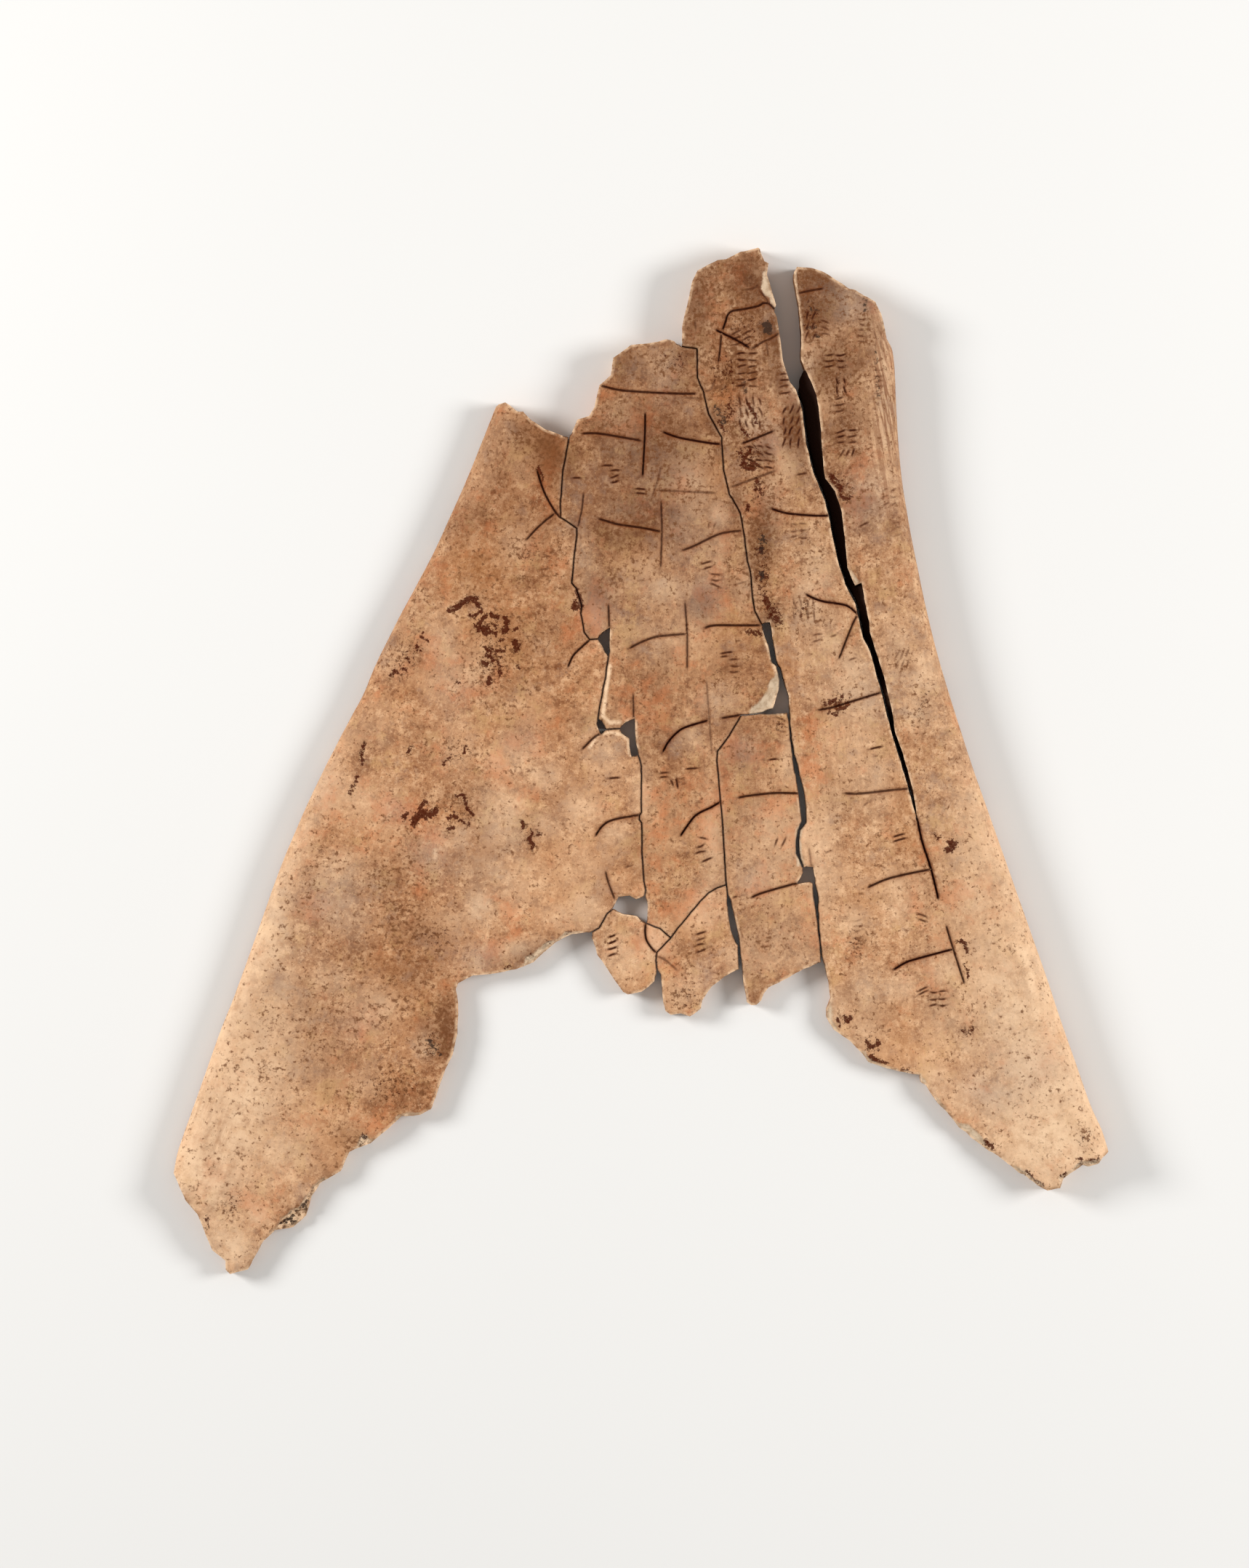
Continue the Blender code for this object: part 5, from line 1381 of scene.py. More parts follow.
@dataclass
class Inscription:
    """Rows of shallow cut strokes, and the lines of the divination cracks."""

    row_pitch: float = 1.45
    column_pitch: float = 2.5
    leans: tuple[float, ...] = (12.0, 72.0, -14.0, 4.0, -76.0, 20.0)
    seed: int = 11
    shake: float = 0.14
    lean_spread: float = 12.0
    bow: float = 0.18
    dash_bow: float = 0.06
    longest_cell: float = 2.6
    half_length: Point = (0.36, 0.50)
    faintest: float = 0.75
    tip: float = 0.45
    taper: float = 0.9
    crack_guides: tuple[float, ...] = (0.0, 0.16, 0.34, 0.7)
    stroke_guides: tuple[float, ...] = (0.0, 0.14, 0.30, 0.5)
    strokes: list[tuple[float, np.ndarray]] = field(default_factory=list)
    cracks: list[tuple[float, np.ndarray]] = field(default_factory=list)

    def __post_init__(self) -> None:
        """Lay out every line."""
        random = np.random.default_rng(self.seed)
        for darkness, start, end in DASHES:
            bend = ((start[0] + end[0]) / 2, (start[1] + end[1]) / 2 + self.dash_bow)
            self.strokes.append((darkness, array([start, bend, end])))
        for place, (darkness, left, low, right, high) in enumerate(ROWS):
            lean = self.leans[place % len(self.leans)]
            pitches = (self.row_pitch, self.column_pitch)
            up, across = pitches if abs(lean) < 45.0 else pitches[::-1]
            rows = max(1, round((high - low) / up))
            columns = max(1, round((right - left) / across))
            wide, tall = (right - left) / columns, (high - low) / rows
            for row in range(rows):
                for column in range(columns):
                    middle = np.array([left + (column + 0.5) * wide, low + (row + 0.5) * tall])
                    middle += random.uniform(-self.shake, self.shake, 2)
                    angle = math.radians(
                        lean + random.uniform(-self.lean_spread, self.lean_spread))
                    cell = min(max(wide, tall), self.longest_cell)
                    reach = cell * random.uniform(*self.half_length)
                    along = np.array([math.cos(angle), math.sin(angle)]) * reach
                    bow = np.array([-along[1], along[0]]) * random.uniform(-self.bow, self.bow)
                    line = np.vstack([middle - along, middle + bow, middle + along])
                    self.strokes.append((darkness * random.uniform(self.faintest, 1.0), line))
        for darkness, points in CRACKS:
            self.cracks.append((darkness, array(points)))

    def path_object(self, lines: list[tuple[float, np.ndarray]], groove: Groove) -> Object:
        """Lines as a wire mesh that the groove tree can follow.

        Args:
            lines: Darkness and points of each line.
            groove: The groove that follows them.

        Returns:
            The wire mesh, which is removed once its grooves are cut.
        """
        places, edges, darkness = [], [], []
        for dark, points in lines:
            line = rounded_line(points, groove.step)
            first = len(places)
            order = np.arange(len(line))
            taper = self.tip + self.taper * np.minimum(order, order[::-1]) * groove.step
            places += [(x * MM, y * MM, 0.0) for x, y in line]
            darkness += list(dark * np.minimum(1.0, taper))
            edges += [(first + i, first + i + 1) for i in range(len(line) - 1)]
        mesh = bpy.data.meshes.new(groove.mark + "_lines")
        mesh.from_pydata(places, edges, [])
        mesh.attributes.new("darkness", "FLOAT", "POINT").data.foreach_set("value", darkness)
        return new_object(mesh.name, mesh)

    def guide_points(self) -> np.ndarray:
        """Mesh points beside every line, so that the grooves come out sharp."""
        points = []
        for lines, step, offsets in ((self.cracks, 0.42, self.crack_guides),
                                     (self.strokes, 0.28, self.stroke_guides)):
            for _, line in lines:
                smooth = rounded_line(line, step)
                run = np.gradient(smooth, axis=0)
                run /= np.maximum(np.linalg.norm(run, axis=1), 1e-9)[:, None]
                side = np.stack([-run[:, 1], run[:, 0]], 1)
                for offset in offsets:
                    points.append(smooth + side * offset)
                    if offset:
                        points.append(smooth - side * offset)
        return np.vstack(points)


def thinned(points: np.ndarray, cell: float) -> np.ndarray:
    """Points with no more than one in each small square."""
    keys = np.floor(points / cell).astype(np.int64)
    _, first = np.unique(keys[:, 0] * 100003 + keys[:, 1], return_index=True)
    return points[np.sort(first)]


def clear_of(points: np.ndarray, others: np.ndarray, gap: float) -> np.ndarray:
    """The points that keep a gap to every other point."""
    if not len(others):
        return points
    tree = KDTree(len(others))
    for i, (x, y) in enumerate(others):
        tree.insert((x, y, 0.0), i)
    tree.balance()
    far = [tree.find((x, y, 0.0))[2] > gap for x, y in points]
    return points[np.array(far, bool)] if len(points) else points


def hex_grid(low: np.ndarray, high: np.ndarray, step: float, seed: int) -> np.ndarray:
    """Slightly shaken staggered points over a box."""
    xs = np.arange(low[0], high[0], step)
    ys = np.arange(low[1], high[1], step * ROW_HEIGHT)
    grid = np.stack(np.meshgrid(xs, ys), -1)
    grid[1::2, :, 0] += step / 2
    points = grid.reshape(-1, 2)
    shake = np.random.default_rng(seed).uniform(-GRID_SHAKE, GRID_SHAKE, points.shape)
    return points + shake * step


@dataclass(frozen=True)
class Spacing:
    """How far apart the points of a piece's mesh lie, in millimetres."""

    edge: float = 0.55
    back: float = 1.5
    hollow: float = 0.7
    spot: float = 0.42
    edge_rings: tuple[float, ...] = (0.3, 0.75, 1.3)
    cut_cell: float = 0.10
    ring_cell: float = 0.3
    fine_gap: float = 0.2
    face_margin: float = 0.5
    face_gap: float = 0.34
    smear_margin: float = 0.7
    chip_margin: float = 0.2
    hollow_margin: float = 0.35
    back_margin: float = 0.6
    least_scorch: float = 0.03


@dataclass(frozen=True)
class Wear:
    """Unevenness of a piece: how far it moves the surface and how wide its lumps are."""

    natural_reach: float = 0.4
    jag_depth: float = 0.16
    jag_size: float = 1.8
    jag_fade: float = 2.0
    swell: float = 0.10
    swell_size: float = 16.0
    ripple: float = 0.035
    ripple_size: float = 2.6
    ripple_shift: float = 50.0
    edge_drop: float = 0.30
    edge_width: float = 0.7
    edge_size: float = 2.2
    edge_base: float = 0.7
    edge_spread: float = 0.6
    back_lumps: float = 0.04
    back_size: float = 3.0
    least_thickness: float = 1.1
    natural_width: float = 1.2
    dent: float = 0.42
    dent_size: float = 1.7
    dent_most: float = 1.2
    bulge: float = 0.10
    sharp_angle: float = 58.0
    arris_width: float = 0.75
    arris_fade: float = 1.8
    arris_loss: float = 0.75


@dataclass(frozen=True)
class Joint:
    """How broken edges lie against each other, in millimetres."""

    gap: float = 0.20
    pull: float = 0.24
    reach: float = 1.1
    neighbour: float = 1.7
    fade: float = 0.4
    # The line values set the painted shade line that darkens each join where the gap between pieces
    # falls
    line_reach: float = 0.8
    line_width: float = 0.06
    line_spread: float = 0.26
    line_size: float = 3.0


@dataclass(frozen=True)
class ChipShape:
    """How a chip falls away from its edge, in millimetres and shares of its depth."""

    lump_size: float = 2.0
    cell_size: float = 0.9
    raggedness: float = 0.22
    overlap: float = 0.1
    lip: float = 0.4
    slope_start: float = 0.2
    slope: float = 2.2
    step: float = 0.35
    fall: float = 0.65
    lumpiness: float = 0.2
    cell_depth: float = 0.5

    def sink(self, points: np.ndarray,
             noise: Roughcast) -> tuple[np.ndarray, np.ndarray, np.ndarray]:
        """How the chips sink the face.

        Args:
            points: Places on the face.
            noise: The lumps of the broken bone.

        Returns:
            How deep each place lies, how far it is chipped and how spongy it is.
        """
        depth, mask, sponge = np.zeros((3, len(points)))
        lumps = noise.layered(points, self.lump_size)
        cells = noise.layered(points, self.cell_size, 2)
        for deep, spongy, corners in CHIPS:
            line = array(corners)
            near = distance_to(line, points, True) * np.where(within(line, points), 1.0, -1.0)
            found = ease((near + self.raggedness * lumps + self.overlap) / self.lip)
            slope = ease((near + self.slope_start) / self.slope)
            sunk = deep * found * (self.step + self.fall * slope) * (1.0 + self.lumpiness * lumps)
            depth = np.maximum(depth, sunk + spongy * found * self.cell_depth * cells)
            sponge = np.maximum(sponge, spongy * found)
            mask = np.maximum(mask, found)
        return depth, mask, sponge


@dataclass(frozen=True)
class Ledge:
    """Broken bone that sticks out low in the open crack, and painted shade down the crack's walls,
    in millimetres.
    """

    carrier: str = "right_wing"
    reach: float = 3.1
    lining_top: float = 91.6
    top: float = 91.7
    top_fade: float = 1.1
    narrow: float = 2.0
    widening_from: float = 90.0
    widening: float = 6.0
    clearance: float = 0.4
    widest: float = 5.0
    upper: float = 0.34
    upper_fade: float = 0.2
    lower: float = 0.8
    lower_fade: float = 0.15
    # Depth below the face over which the walls lining the crack are painted dark as shade
    shadow: float = 1.8

    def push(self, node: str, line: np.ndarray) -> tuple[np.ndarray, np.ndarray]:
        """How the ledge moves a wall.

        Args:
            node: The piece that has the wall.
            line: The piece's outline.

        Returns:
            How far the wall pushes out at each corner, and which corners line the crack.
        """
        push = np.zeros(len(line))
        if node != self.carrier:
            return push, push
        middle = array(OPEN_CRACK)
        lining = (distance_to(middle, line) < self.reach) & (line[:, 1] < self.lining_top)
        across = line[:, 0] - np.interp(line[:, 1], middle[::-1, 1], middle[::-1, 0])
        wing, strip = lining & (across > 0.0), lining & (across <= 0.0)
        bank = np.array([np.hypot(*(line[strip] - p).T).min() for p in line[wing]])
        height = line[wing, 1]
        width = self.narrow + np.clip(self.widening_from - height, 0.0, self.widening)
        width *= ease((self.top - height) / self.top_fade)
        push[wing] = np.clip(np.minimum(bank - self.clearance, width), 0.0, self.widest)
        for _ in range(2):
            push = (np.roll(push, 1) + push + np.roll(push, -1)) / 3.0
        return push * wing, lining.astype(float)

    def profile(self, share: float) -> float:
        """How far out the ledge stands at a share of the wall's depth."""
        return float(ease((share - self.upper) / self.upper_fade)
                     * (1.0 - ease((share - self.lower) / self.lower_fade)))


@dataclass
class Fragment:
    """One broken piece of the bone."""

    node: str
    finish: Finish
    seed: int
    face_step: float = 0.78
    wall_rows: int = 7
    shape: BladeShape = BladeShape()
    spacing: Spacing = Spacing()
    wear: Wear = Wear()
    joint: Joint = Joint()
    chips: ChipShape = ChipShape()
    ledge: Ledge = Ledge()
    outline: np.ndarray = field(default_factory=lambda: np.zeros((0, 2)))
    neighbours: list[np.ndarray] = field(default_factory=list)

    def read_outline(self, node: Object) -> None:
        """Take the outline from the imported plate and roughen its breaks."""
        corners, wear = cad_outline(node), self.wear
        natural = self.shape.border_distance(corners) < wear.natural_reach
        rows = []
        count = len(corners)
        for i in range(count):
            a, b = corners[i], corners[(i + 1) % count]
            steps = max(1, round(float(np.linalg.norm(b - a)) / self.spacing.edge))
            t = (np.arange(steps) / steps)[:, None]
            if natural[i] and natural[(i + 1) % count]:
                before = corners[i - 1] if natural[i - 1] else 2 * a - b
                after = corners[(i + 2) % count] if natural[(i + 2) % count] else 2 * b - a
                rows.append(curve(before, a, b, after, t))
            else:
                rows.append(a + (b - a) * t)
        line = np.vstack(rows)
        worn = np.clip(self.shape.border_distance(line) / wear.jag_fade, 0.0, 1.0)
        jag = 0.5 + 0.5 * Roughcast(self.seed).layered(line, wear.jag_size)
        depth = np.clip(jag, 0.0, 1.0) * wear.jag_depth * worn
        self.outline = line + self.inward(line) * depth[:, None]

    def neighbour_gap(self, points: np.ndarray) -> np.ndarray:
        """Distance from each point to the nearest other piece."""
        gap = np.full(len(points), FAR)
        for outline in self.neighbours:
            gap = np.minimum(gap, distance_to(outline, points, True))
        return gap

    def close_joints(self) -> None:
        """Bring the edges of each joint nearly together, as refitted bone lies."""
        joint, gap = self.joint, self.neighbour_gap(self.outline)
        pull = np.clip((gap - joint.gap) / 2.0, 0.0, joint.pull)
        pull *= ease((joint.reach - gap) / joint.fade)
        self.outline = self.outline - self.inward(self.outline) * pull[:, None]

    @staticmethod
    def inward(line: np.ndarray) -> np.ndarray:
        """Unit directions into an anticlockwise outline."""
        run = np.roll(line, -1, axis=0) - np.roll(line, 1, axis=0)
        run /= np.maximum(np.linalg.norm(run, axis=1), 1e-9)[:, None]
        return np.stack([-run[:, 1], run[:, 0]], 1)

    def kept(self, points: np.ndarray, margin: float) -> np.ndarray:
        """The points that lie inside the outline and a margin away from it."""
        points = points[within(self.outline, points)]
        return points[distance_to(self.outline, points, True) > margin]

    def face_points(self, guides: np.ndarray) -> np.ndarray:
        """Inner points of the written face, dense beside its cuts and its edge."""
        line, spacing = self.outline, self.spacing
        low, high = line.min(0), line.max(0)
        edge = np.vstack([line + self.inward(line) * depth for depth in spacing.edge_rings])
        boxed = guides[((guides > low) & (guides < high)).all(1)]
        spots = hex_grid(low, high, spacing.spot, self.seed + 4)
        spots = spots[self.detailed(spots)]
        close = np.vstack([thinned(boxed, spacing.cut_cell), thinned(edge, spacing.ring_cell)])
        close = np.vstack([close, clear_of(spots, close, spacing.fine_gap)])
        close = self.kept(close, spacing.fine_gap)
        grid = self.kept(hex_grid(low, high, self.face_step, self.seed), spacing.face_margin)
        return np.vstack([close, clear_of(grid, close, spacing.face_gap)])

    def detailed(self, points: np.ndarray) -> np.ndarray:
        """Whether each point lies where a smear or chip needs a fine mesh."""
        wanted = np.zeros(len(points), bool)
        for smears in SMEARS.values():
            for half, _, line in smears:
                wanted |= self.near_box(points, array(line), half + self.spacing.smear_margin)
        for _, _, corners in CHIPS:
            wanted |= self.near_box(points, array(corners), self.spacing.chip_margin)
        return wanted

    @staticmethod
    def near_box(points: np.ndarray, line: np.ndarray, reach: float) -> np.ndarray:
        """Whether each point lies in the box around a line, grown by a reach."""
        return ((points > line.min(0) - reach) & (points < line.max(0) + reach)).all(1)

    def back_points(self) -> np.ndarray:
        """Inner points of the back, dense in its hollows."""
        line, spacing = self.outline, self.spacing
        low, high = line.min(0), line.max(0)
        fine = hex_grid(low, high, spacing.hollow, self.seed + 1)
        fine = fine[self.shape.hollow(fine)[1] > spacing.least_scorch]
        fine = self.kept(fine, spacing.hollow_margin)
        grid = self.kept(hex_grid(low, high, spacing.back, self.seed + 2), spacing.back_margin)
        return np.vstack([fine, clear_of(grid, fine, spacing.back_margin)])

    def layer(self, inner: np.ndarray) -> tuple[np.ndarray, np.ndarray]:
        """Triangles over the outline and inner points.

        Args:
            inner: The points inside the outline.

        Returns:
            The outline's points and the inner ones in the order used, and the triangles.
        """
        count = len(self.outline)
        flat = [Vector(p) for p in np.vstack([self.outline, inner])]
        places, _, faces, sources, _, owners = delaunay_2d_cdt(
            flat, [], [list(range(count))], 0, 1e-7, True)
        number: list[int] = []
        extra: list[Point] = []
        for place, source in zip(places, sources):
            if source and min(source) < count:
                number.append(min(source))
            else:
                number.append(count + len(extra))
                extra.append((place.x, place.y))
        made = [[number[i] for i in face] for face, owner in zip(faces, owners) if owner]
        return np.vstack([self.outline, array(extra)]), np.array(made)

    def walls(self, top: np.ndarray, low: np.ndarray, natural: np.ndarray,
              shelf: np.ndarray) -> list[np.ndarray]:
        """Rows of points down the walls, dented where broken and rounded at the borders.

        Args:
            top: Height of the face's rim.
            low: Height of the back's rim.
            natural: 1 where the rim is a natural border, 0 at a break.
            shelf: How far the ledge pushes out.

        Returns:
            The rows between the two rims, from the face down.
        """
        line, wear, rows = self.outline, self.wear, []
        inward, noise = self.inward(line), Roughcast(self.seed + 3)
        for row in range(1, self.wall_rows):
            share = row / self.wall_rows
            belly = math.sin(math.pi * share)
            height = top + (low - top) * share
            rough = 0.5 + 0.5 * noise.layered(np.column_stack([line, height]), wear.dent_size)
            dent = np.clip(rough, 0.0, wear.dent_most) * wear.dent * belly ** 0.5
            push = dent * (1.0 - natural) - wear.bulge * natural * belly
            push -= shelf * self.ledge.profile(share)
            rows.append(np.column_stack([line + inward * push[:, None], height]))
        return rows

    def build(self, guides: np.ndarray) -> Object:
        """Make the piece's mesh.

        Args:
            guides: Points beside the cracks and strokes.

        Returns:
            The piece, with its face, breaks and back.
        """
        shape, wear, noise = self.shape, self.wear, Roughcast(self.seed + 3)
        rim = len(self.outline)
        face_flat, face_tris = self.layer(self.face_points(guides))
        back_flat, back_tris = self.layer(self.back_points())

        edge_gap = distance_to(self.outline, face_flat, True)
        levelled = shape.roundness(face_flat)
        swell = (wear.swell * noise.layered(face_flat, wear.swell_size)
                 + wear.ripple * noise.layered(face_flat + wear.ripple_shift, wear.ripple_size))
        worn = wear.edge_drop * (1.0 - ease(edge_gap / wear.edge_width)) * levelled
        worn *= wear.edge_base + wear.edge_spread * noise.at(face_flat, wear.edge_size)
        chip, chip_mask, sponge = self.chips.sink(face_flat, Roughcast(self.seed + 5))
        face_z = shape.front(face_flat) + swell * levelled - worn - chip
        back_z = shape.back(back_flat) + wear.back_lumps * noise.layered(back_flat, wear.back_size)
        back_z = np.minimum(np.maximum(back_z, 0.0), shape.front(back_flat) - wear.least_thickness)

        gap = shape.border_distance(self.outline)
        natural = 1.0 - np.clip(gap / wear.natural_width, 0.0, 1.0)
        shelf, lining = self.ledge.push(self.node, self.outline)
        walls = self.walls(face_z[:rim], back_z[:rim], natural, shelf)
        places = np.vstack([np.column_stack([face_flat, face_z])] + walls
                           + [np.column_stack([back_flat, back_z])])

        starts = [0] + [len(face_flat) + rim * i for i in range(len(walls) + 1)]
        around = np.arange(rim)
        onward = (around + 1) % rim
        faces = face_tris.tolist()
        slots = [Region.FACE.value] * len(face_tris)
        for upper, lower in zip(starts, starts[1:]):
            faces += np.column_stack([lower + around, lower + onward, upper + onward,
                                      upper + around]).tolist()
            slots += np.where(natural < 0.5, Region.BREAK.value, Region.FACE.value).tolist()
        faces += (starts[-1] + back_tris[:, ::-1]).tolist()
        slots += [Region.BACK.value] * len(back_tris)

        mesh = bpy.data.meshes.new(self.node)
        mesh.from_pydata([tuple(p) for p in places * MM], [], faces)
        mesh.polygons.foreach_set("material_index", slots)
        mesh.shade_smooth()
        mesh.set_sharp_from_angle(angle=math.radians(wear.sharp_angle))
        # The joint values are painted shade along the joins, on the face and down the walls
        joint, close = self.joint_mask(face_flat, edge_gap)
        arris = 1.0 - ease(edge_gap / wear.arris_width)
        arris *= ease(shape.border_distance(face_flat) / wear.arris_fade)
        depths = np.concatenate([face_z[:rim] - wall[:, 2] for wall in walls])
        self.write_attributes(
            mesh, places, starts[-1],
            {"chip": chip_mask, "spongy": sponge, "joint": joint,
             "arris": arris * (1.0 - joint) * (1.0 - wear.arris_loss * close),
             "face": np.ones(len(face_flat))},
            {"joint": np.tile(joint[:rim], len(walls)),
             # The ledge value paints shade on the walls lining the open crack, darker with depth
             "ledge": np.tile(lining, len(walls)) * ease(depths / self.ledge.shadow)})
        return new_object(self.node + "_bone", mesh)

    def joint_mask(self, points: np.ndarray,
                   edge_gap: np.ndarray) -> tuple[np.ndarray, np.ndarray]:
        """Where a piece meets a neighbour, and the painted shade along the join.

        Args:
            points: Places on the face.
            edge_gap: Their distance to the piece's own edge.

        Returns:
            The dark line along the joint, and how close the neighbour is.
        """
        mask, close = np.zeros((2, len(points)))
        near = np.flatnonzero(edge_gap < self.joint.line_reach)
        gap = self.neighbour_gap(points[near])
        noise = Roughcast(self.seed + 8).layered(points[near], self.joint.line_size)
        worn = self.joint.line_width + self.joint.line_spread * np.clip(noise, 0.0, 1.0)
        close[near] = ease((self.joint.neighbour - gap) / self.joint.fade)
        mask[near] = close[near] * (1.0 - ease(edge_gap[near] / worn))
        return mask, close

    @staticmethod
    def stained(flat: np.ndarray, stain: Stain) -> np.ndarray:
        """How strong one kind of stain is at each place.

        Args:
            flat: Places on the piece, seen from above.
            stain: The kind of stain.

        Returns:
            One strength for each place.
        """
        amount = np.zeros(len(flat))
        for x, y, wide, tall, strength, *turn in PATCHES.get(stain, []):
            angle = math.radians(turn[0] if turn else 0.0)
            dx, dy = flat[:, 0] - x, flat[:, 1] - y
            along = (dx * math.cos(angle) + dy * math.sin(angle)) / wide
            across = (dy * math.cos(angle) - dx * math.sin(angle)) / tall
            amount = np.maximum(amount, strength * np.exp(-(along**2 + across**2)))
        for half, strength, line in SMEARS.get(stain, []):
            near = np.flatnonzero(Fragment.near_box(flat, array(line), SMEAR_BOX * half))
            gap = distance_to(array(line), flat[near]) / half
            strong = strength * ease((SMEAR_EDGE - gap) / SMEAR_FADE)
            amount[near] = np.maximum(amount[near], strong)
        return amount

    def write_attributes(self, mesh: Mesh, places: np.ndarray, back_start: int,
                         on_face: dict[str, np.ndarray], on_walls: dict[str, np.ndarray]) -> None:
        """Store what the materials and the node trees read.

        Args:
            mesh: The piece's mesh.
            places: Its points, in millimetres: the face, the walls and the back.
            back_start: Where the back's points begin.
            on_face: Values of the written face's points.
            on_walls: Values of the walls' points.
        """
        flat = places[:, :2]
        names = ("face", "arris", "joint", "chip", "spongy", "ledge", "halo", "crack", "stroke",
                 "scorch")
        values = {name: np.zeros(len(places)) for name in names}
        for name, numbers in on_face.items():
            values[name][:len(numbers)] = numbers
        for name, numbers in on_walls.items():
            values[name][back_start - len(numbers):back_start] = numbers
        values["scorch"][back_start:] = self.shape.hollow(flat[back_start:])[1]
        for stain in Stain:
            values[stain.value] = self.stained(flat, stain)
        # The border value is the painted highlight where the rounded natural borders turn to the
        # light
        values["border"] = np.maximum(*[band.at(flat) for band in RIM_HIGHLIGHT_BANDS])
        for name, numbers in values.items():
            mesh.attributes.new(name, "FLOAT", "POINT").data.foreach_set(
                "value", numbers.astype(np.float32))
        offset = flat - array([FAN_CENTRE])
        reach = np.hypot(offset[:, 0], offset[:, 1])
        turn = np.arctan2(offset[:, 0], -offset[:, 1]) * FAN_RADIUS
        fan = np.column_stack([turn, reach, places[:, 2]]).astype(np.float32)
        mesh.attributes.new("fan", "FLOAT_VECTOR", "POINT").data.foreach_set(
            "vector", fan.ravel())


@dataclass
class OracleBone:
    """The whole bone: six pieces, their cuts and the earth on them."""

    materials: BoneMaterials
    inscription: Inscription = field(default_factory=Inscription)
    crack: Groove = Groove("crack", half_width=0.41, depth=0.50, halo=1.0, step=0.5)
    stroke: Groove = Groove("stroke", half_width=0.37, depth=0.16, halo=0.55, step=0.3)
    earth: Earth = Earth()
    crumbed: tuple[str, ...] = ("left_wing", "right_wing", "centre_panel")
    pieces: list[Fragment] = field(default_factory=lambda: [
        Fragment("left_wing", Finish.WARM, 3, face_step=0.86),
        Fragment("centre_panel", Finish.DUSKY, 5),
        Fragment("right_wing", Finish.PALE, 7, face_step=0.84, wall_rows=10),
        Fragment("lower_right_strip", Finish.DUSKY, 9),
        Fragment("lower_middle_flake", Finish.WARM, 12),
        Fragment("lower_left_flake", Finish.PALE, 15),
    ])

    def build(self, nodes: dict[str, Object]) -> None:
        """Make every piece and let it stand for its CAD node.

        Args:
            nodes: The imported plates, by name.
        """
        grooves, crumbs = GrooveTree(), CrumbTree()
        lines = self.inscription
        guides = lines.guide_points()
        cracks = lines.path_object(lines.cracks, self.crack)
        strokes = lines.path_object(lines.strokes, self.stroke)
        dry = self.materials.crumbs()
        for fragment in self.pieces:
            fragment.read_outline(nodes[fragment.node])
        for fragment in self.pieces:
            fragment.neighbours = [f.outline for f in self.pieces if f is not fragment]
        for fragment in self.pieces:
            fragment.close_joints()
            piece = fragment.build(guides)
            for region in Region:
                piece.data.materials.append(self.materials.get(region, fragment.finish))
            grooves.cut(piece, strokes, self.stroke)
            grooves.cut(piece, cracks, self.crack)
            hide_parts(fragment.node)
            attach(piece, "root")
            log.info("%s: %d points, %d faces", piece.name, len(piece.data.vertices),
                     len(piece.data.polygons))
            if fragment.node in self.crumbed:
                dirt = crumbs.strew(piece, fragment.node + "_crumbs", dry, self.earth,
                                    fragment.seed)
                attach(dirt, "root")
                log.info("%s: %d faces", dirt.name, len(dirt.data.polygons))
        for wire in (cracks, strokes):
            bpy.data.objects.remove(wire)


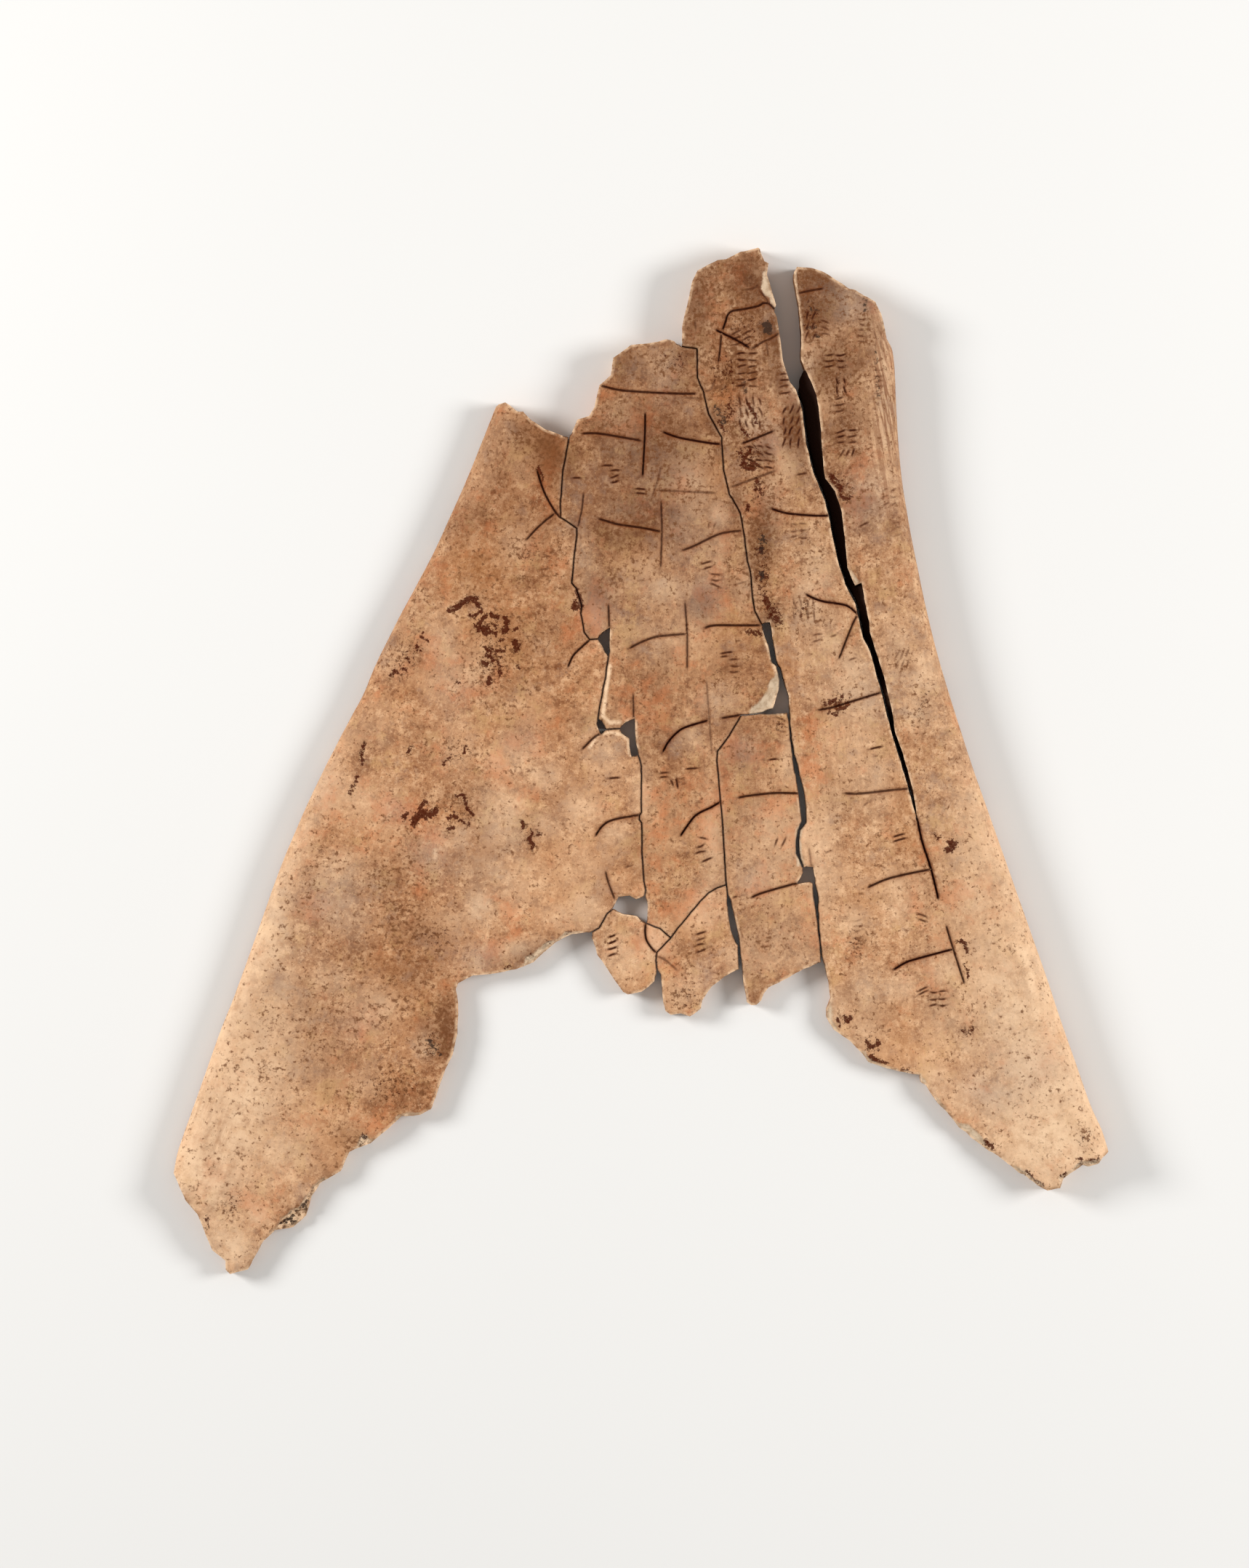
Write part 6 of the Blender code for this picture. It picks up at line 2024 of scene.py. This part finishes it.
@dataclass
class Studio:
    """Pale floor, soft lights and the camera above the bone."""

    middle: tuple[float, float] = (-3.74, -5.27)
    view_height: float = 366.5
    lens: float = 150.0
    sensor: float = 36.0
    face_level: float = 7.0
    floor_reach: float = 4.0
    lamp_size: float = 0.45
    lamps: tuple[tuple[str, tuple[float, float, float], float], ...] = (
        ("left lamp", (-0.95, 0.30, 0.62), 11.0), ("right lamp", (0.95, 0.10, 0.62), 9.5))
    sky: Colour = (1.0, 0.99, 0.97, 1.0)
    sky_strength: float = 0.42

    def floor(self) -> None:
        """A plain pale floor."""
        mesh, far = bpy.data.meshes.new("floor"), self.floor_reach
        mesh.from_pydata([(-far, -far, 0), (far, -far, 0), (far, far, 0), (-far, far, 0)],
                         [], [(0, 1, 2, 3)])
        material = bpy.data.materials.new("floor_paper")
        material.use_nodes = True
        wiring = Wiring(material.node_tree)
        shader = material.node_tree.nodes["Principled BSDF"]
        place = wiring.node("ShaderNodeTexCoord").outputs["Object"]
        cloud = wiring.noise(place, 3.0, 3.0)
        colour = wiring.mix(cloud, (0.74, 0.73, 0.71, 1.0), (0.78, 0.77, 0.75, 1.0))
        wiring.tree.links.new(colour, shader.inputs["Base Color"])
        shader.inputs["Roughness"].default_value = 0.9
        mesh.materials.append(material)
        floor = new_object("floor", mesh)

    def light(self, name: str, place: tuple[float, float, float], power: float) -> None:
        """A soft lamp turned to the bone.

        Args:
            name: The lamp's name.
            place: Where it hangs, in metres.
            power: Its strength, in watts.
        """
        lamp = bpy.data.lights.new(name, "AREA")
        lamp.shape = "DISK"
        lamp.size = self.lamp_size
        lamp.energy = power
        holder = new_object(name, lamp)
        holder.location = place
        holder.rotation_euler = (-Vector(place)).to_track_quat("-Z", "Y").to_euler()

    def camera(self) -> None:
        """The camera, straight above the bone."""
        data = bpy.data.cameras.new("camera")
        data.lens = self.lens
        data.sensor_width = self.sensor
        data.clip_start = 0.01
        holder = new_object("camera", data)
        reach = self.view_height * self.lens / self.sensor
        holder.location = (self.middle[0] * MM, self.middle[1] * MM,
                           (reach + self.face_level) * MM)
        bpy.context.scene.camera = holder

    def build(self) -> None:
        """Set up the whole studio."""
        self.floor()
        for name, place, power in self.lamps:
            self.light(name, place, power)
        self.camera()
        world = bpy.data.worlds.new("studio")
        world.use_nodes = True
        background = world.node_tree.nodes["Background"]
        background.inputs["Color"].default_value = self.sky
        background.inputs["Strength"].default_value = self.sky_strength
        bpy.context.scene.world = world
        bpy.context.scene.view_settings.view_transform = "Standard"


def main() -> None:
    """Build the studio and the bone, and note the sizes."""
    logging.basicConfig(level=logging.INFO, format="%(name)s %(message)s")
    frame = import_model()
    Studio().build()
    bone = OracleBone(BoneMaterials(BoneGroups(), Palette()))
    bone.build(frame["nodes"])


if __name__ == "__main__":
    main()
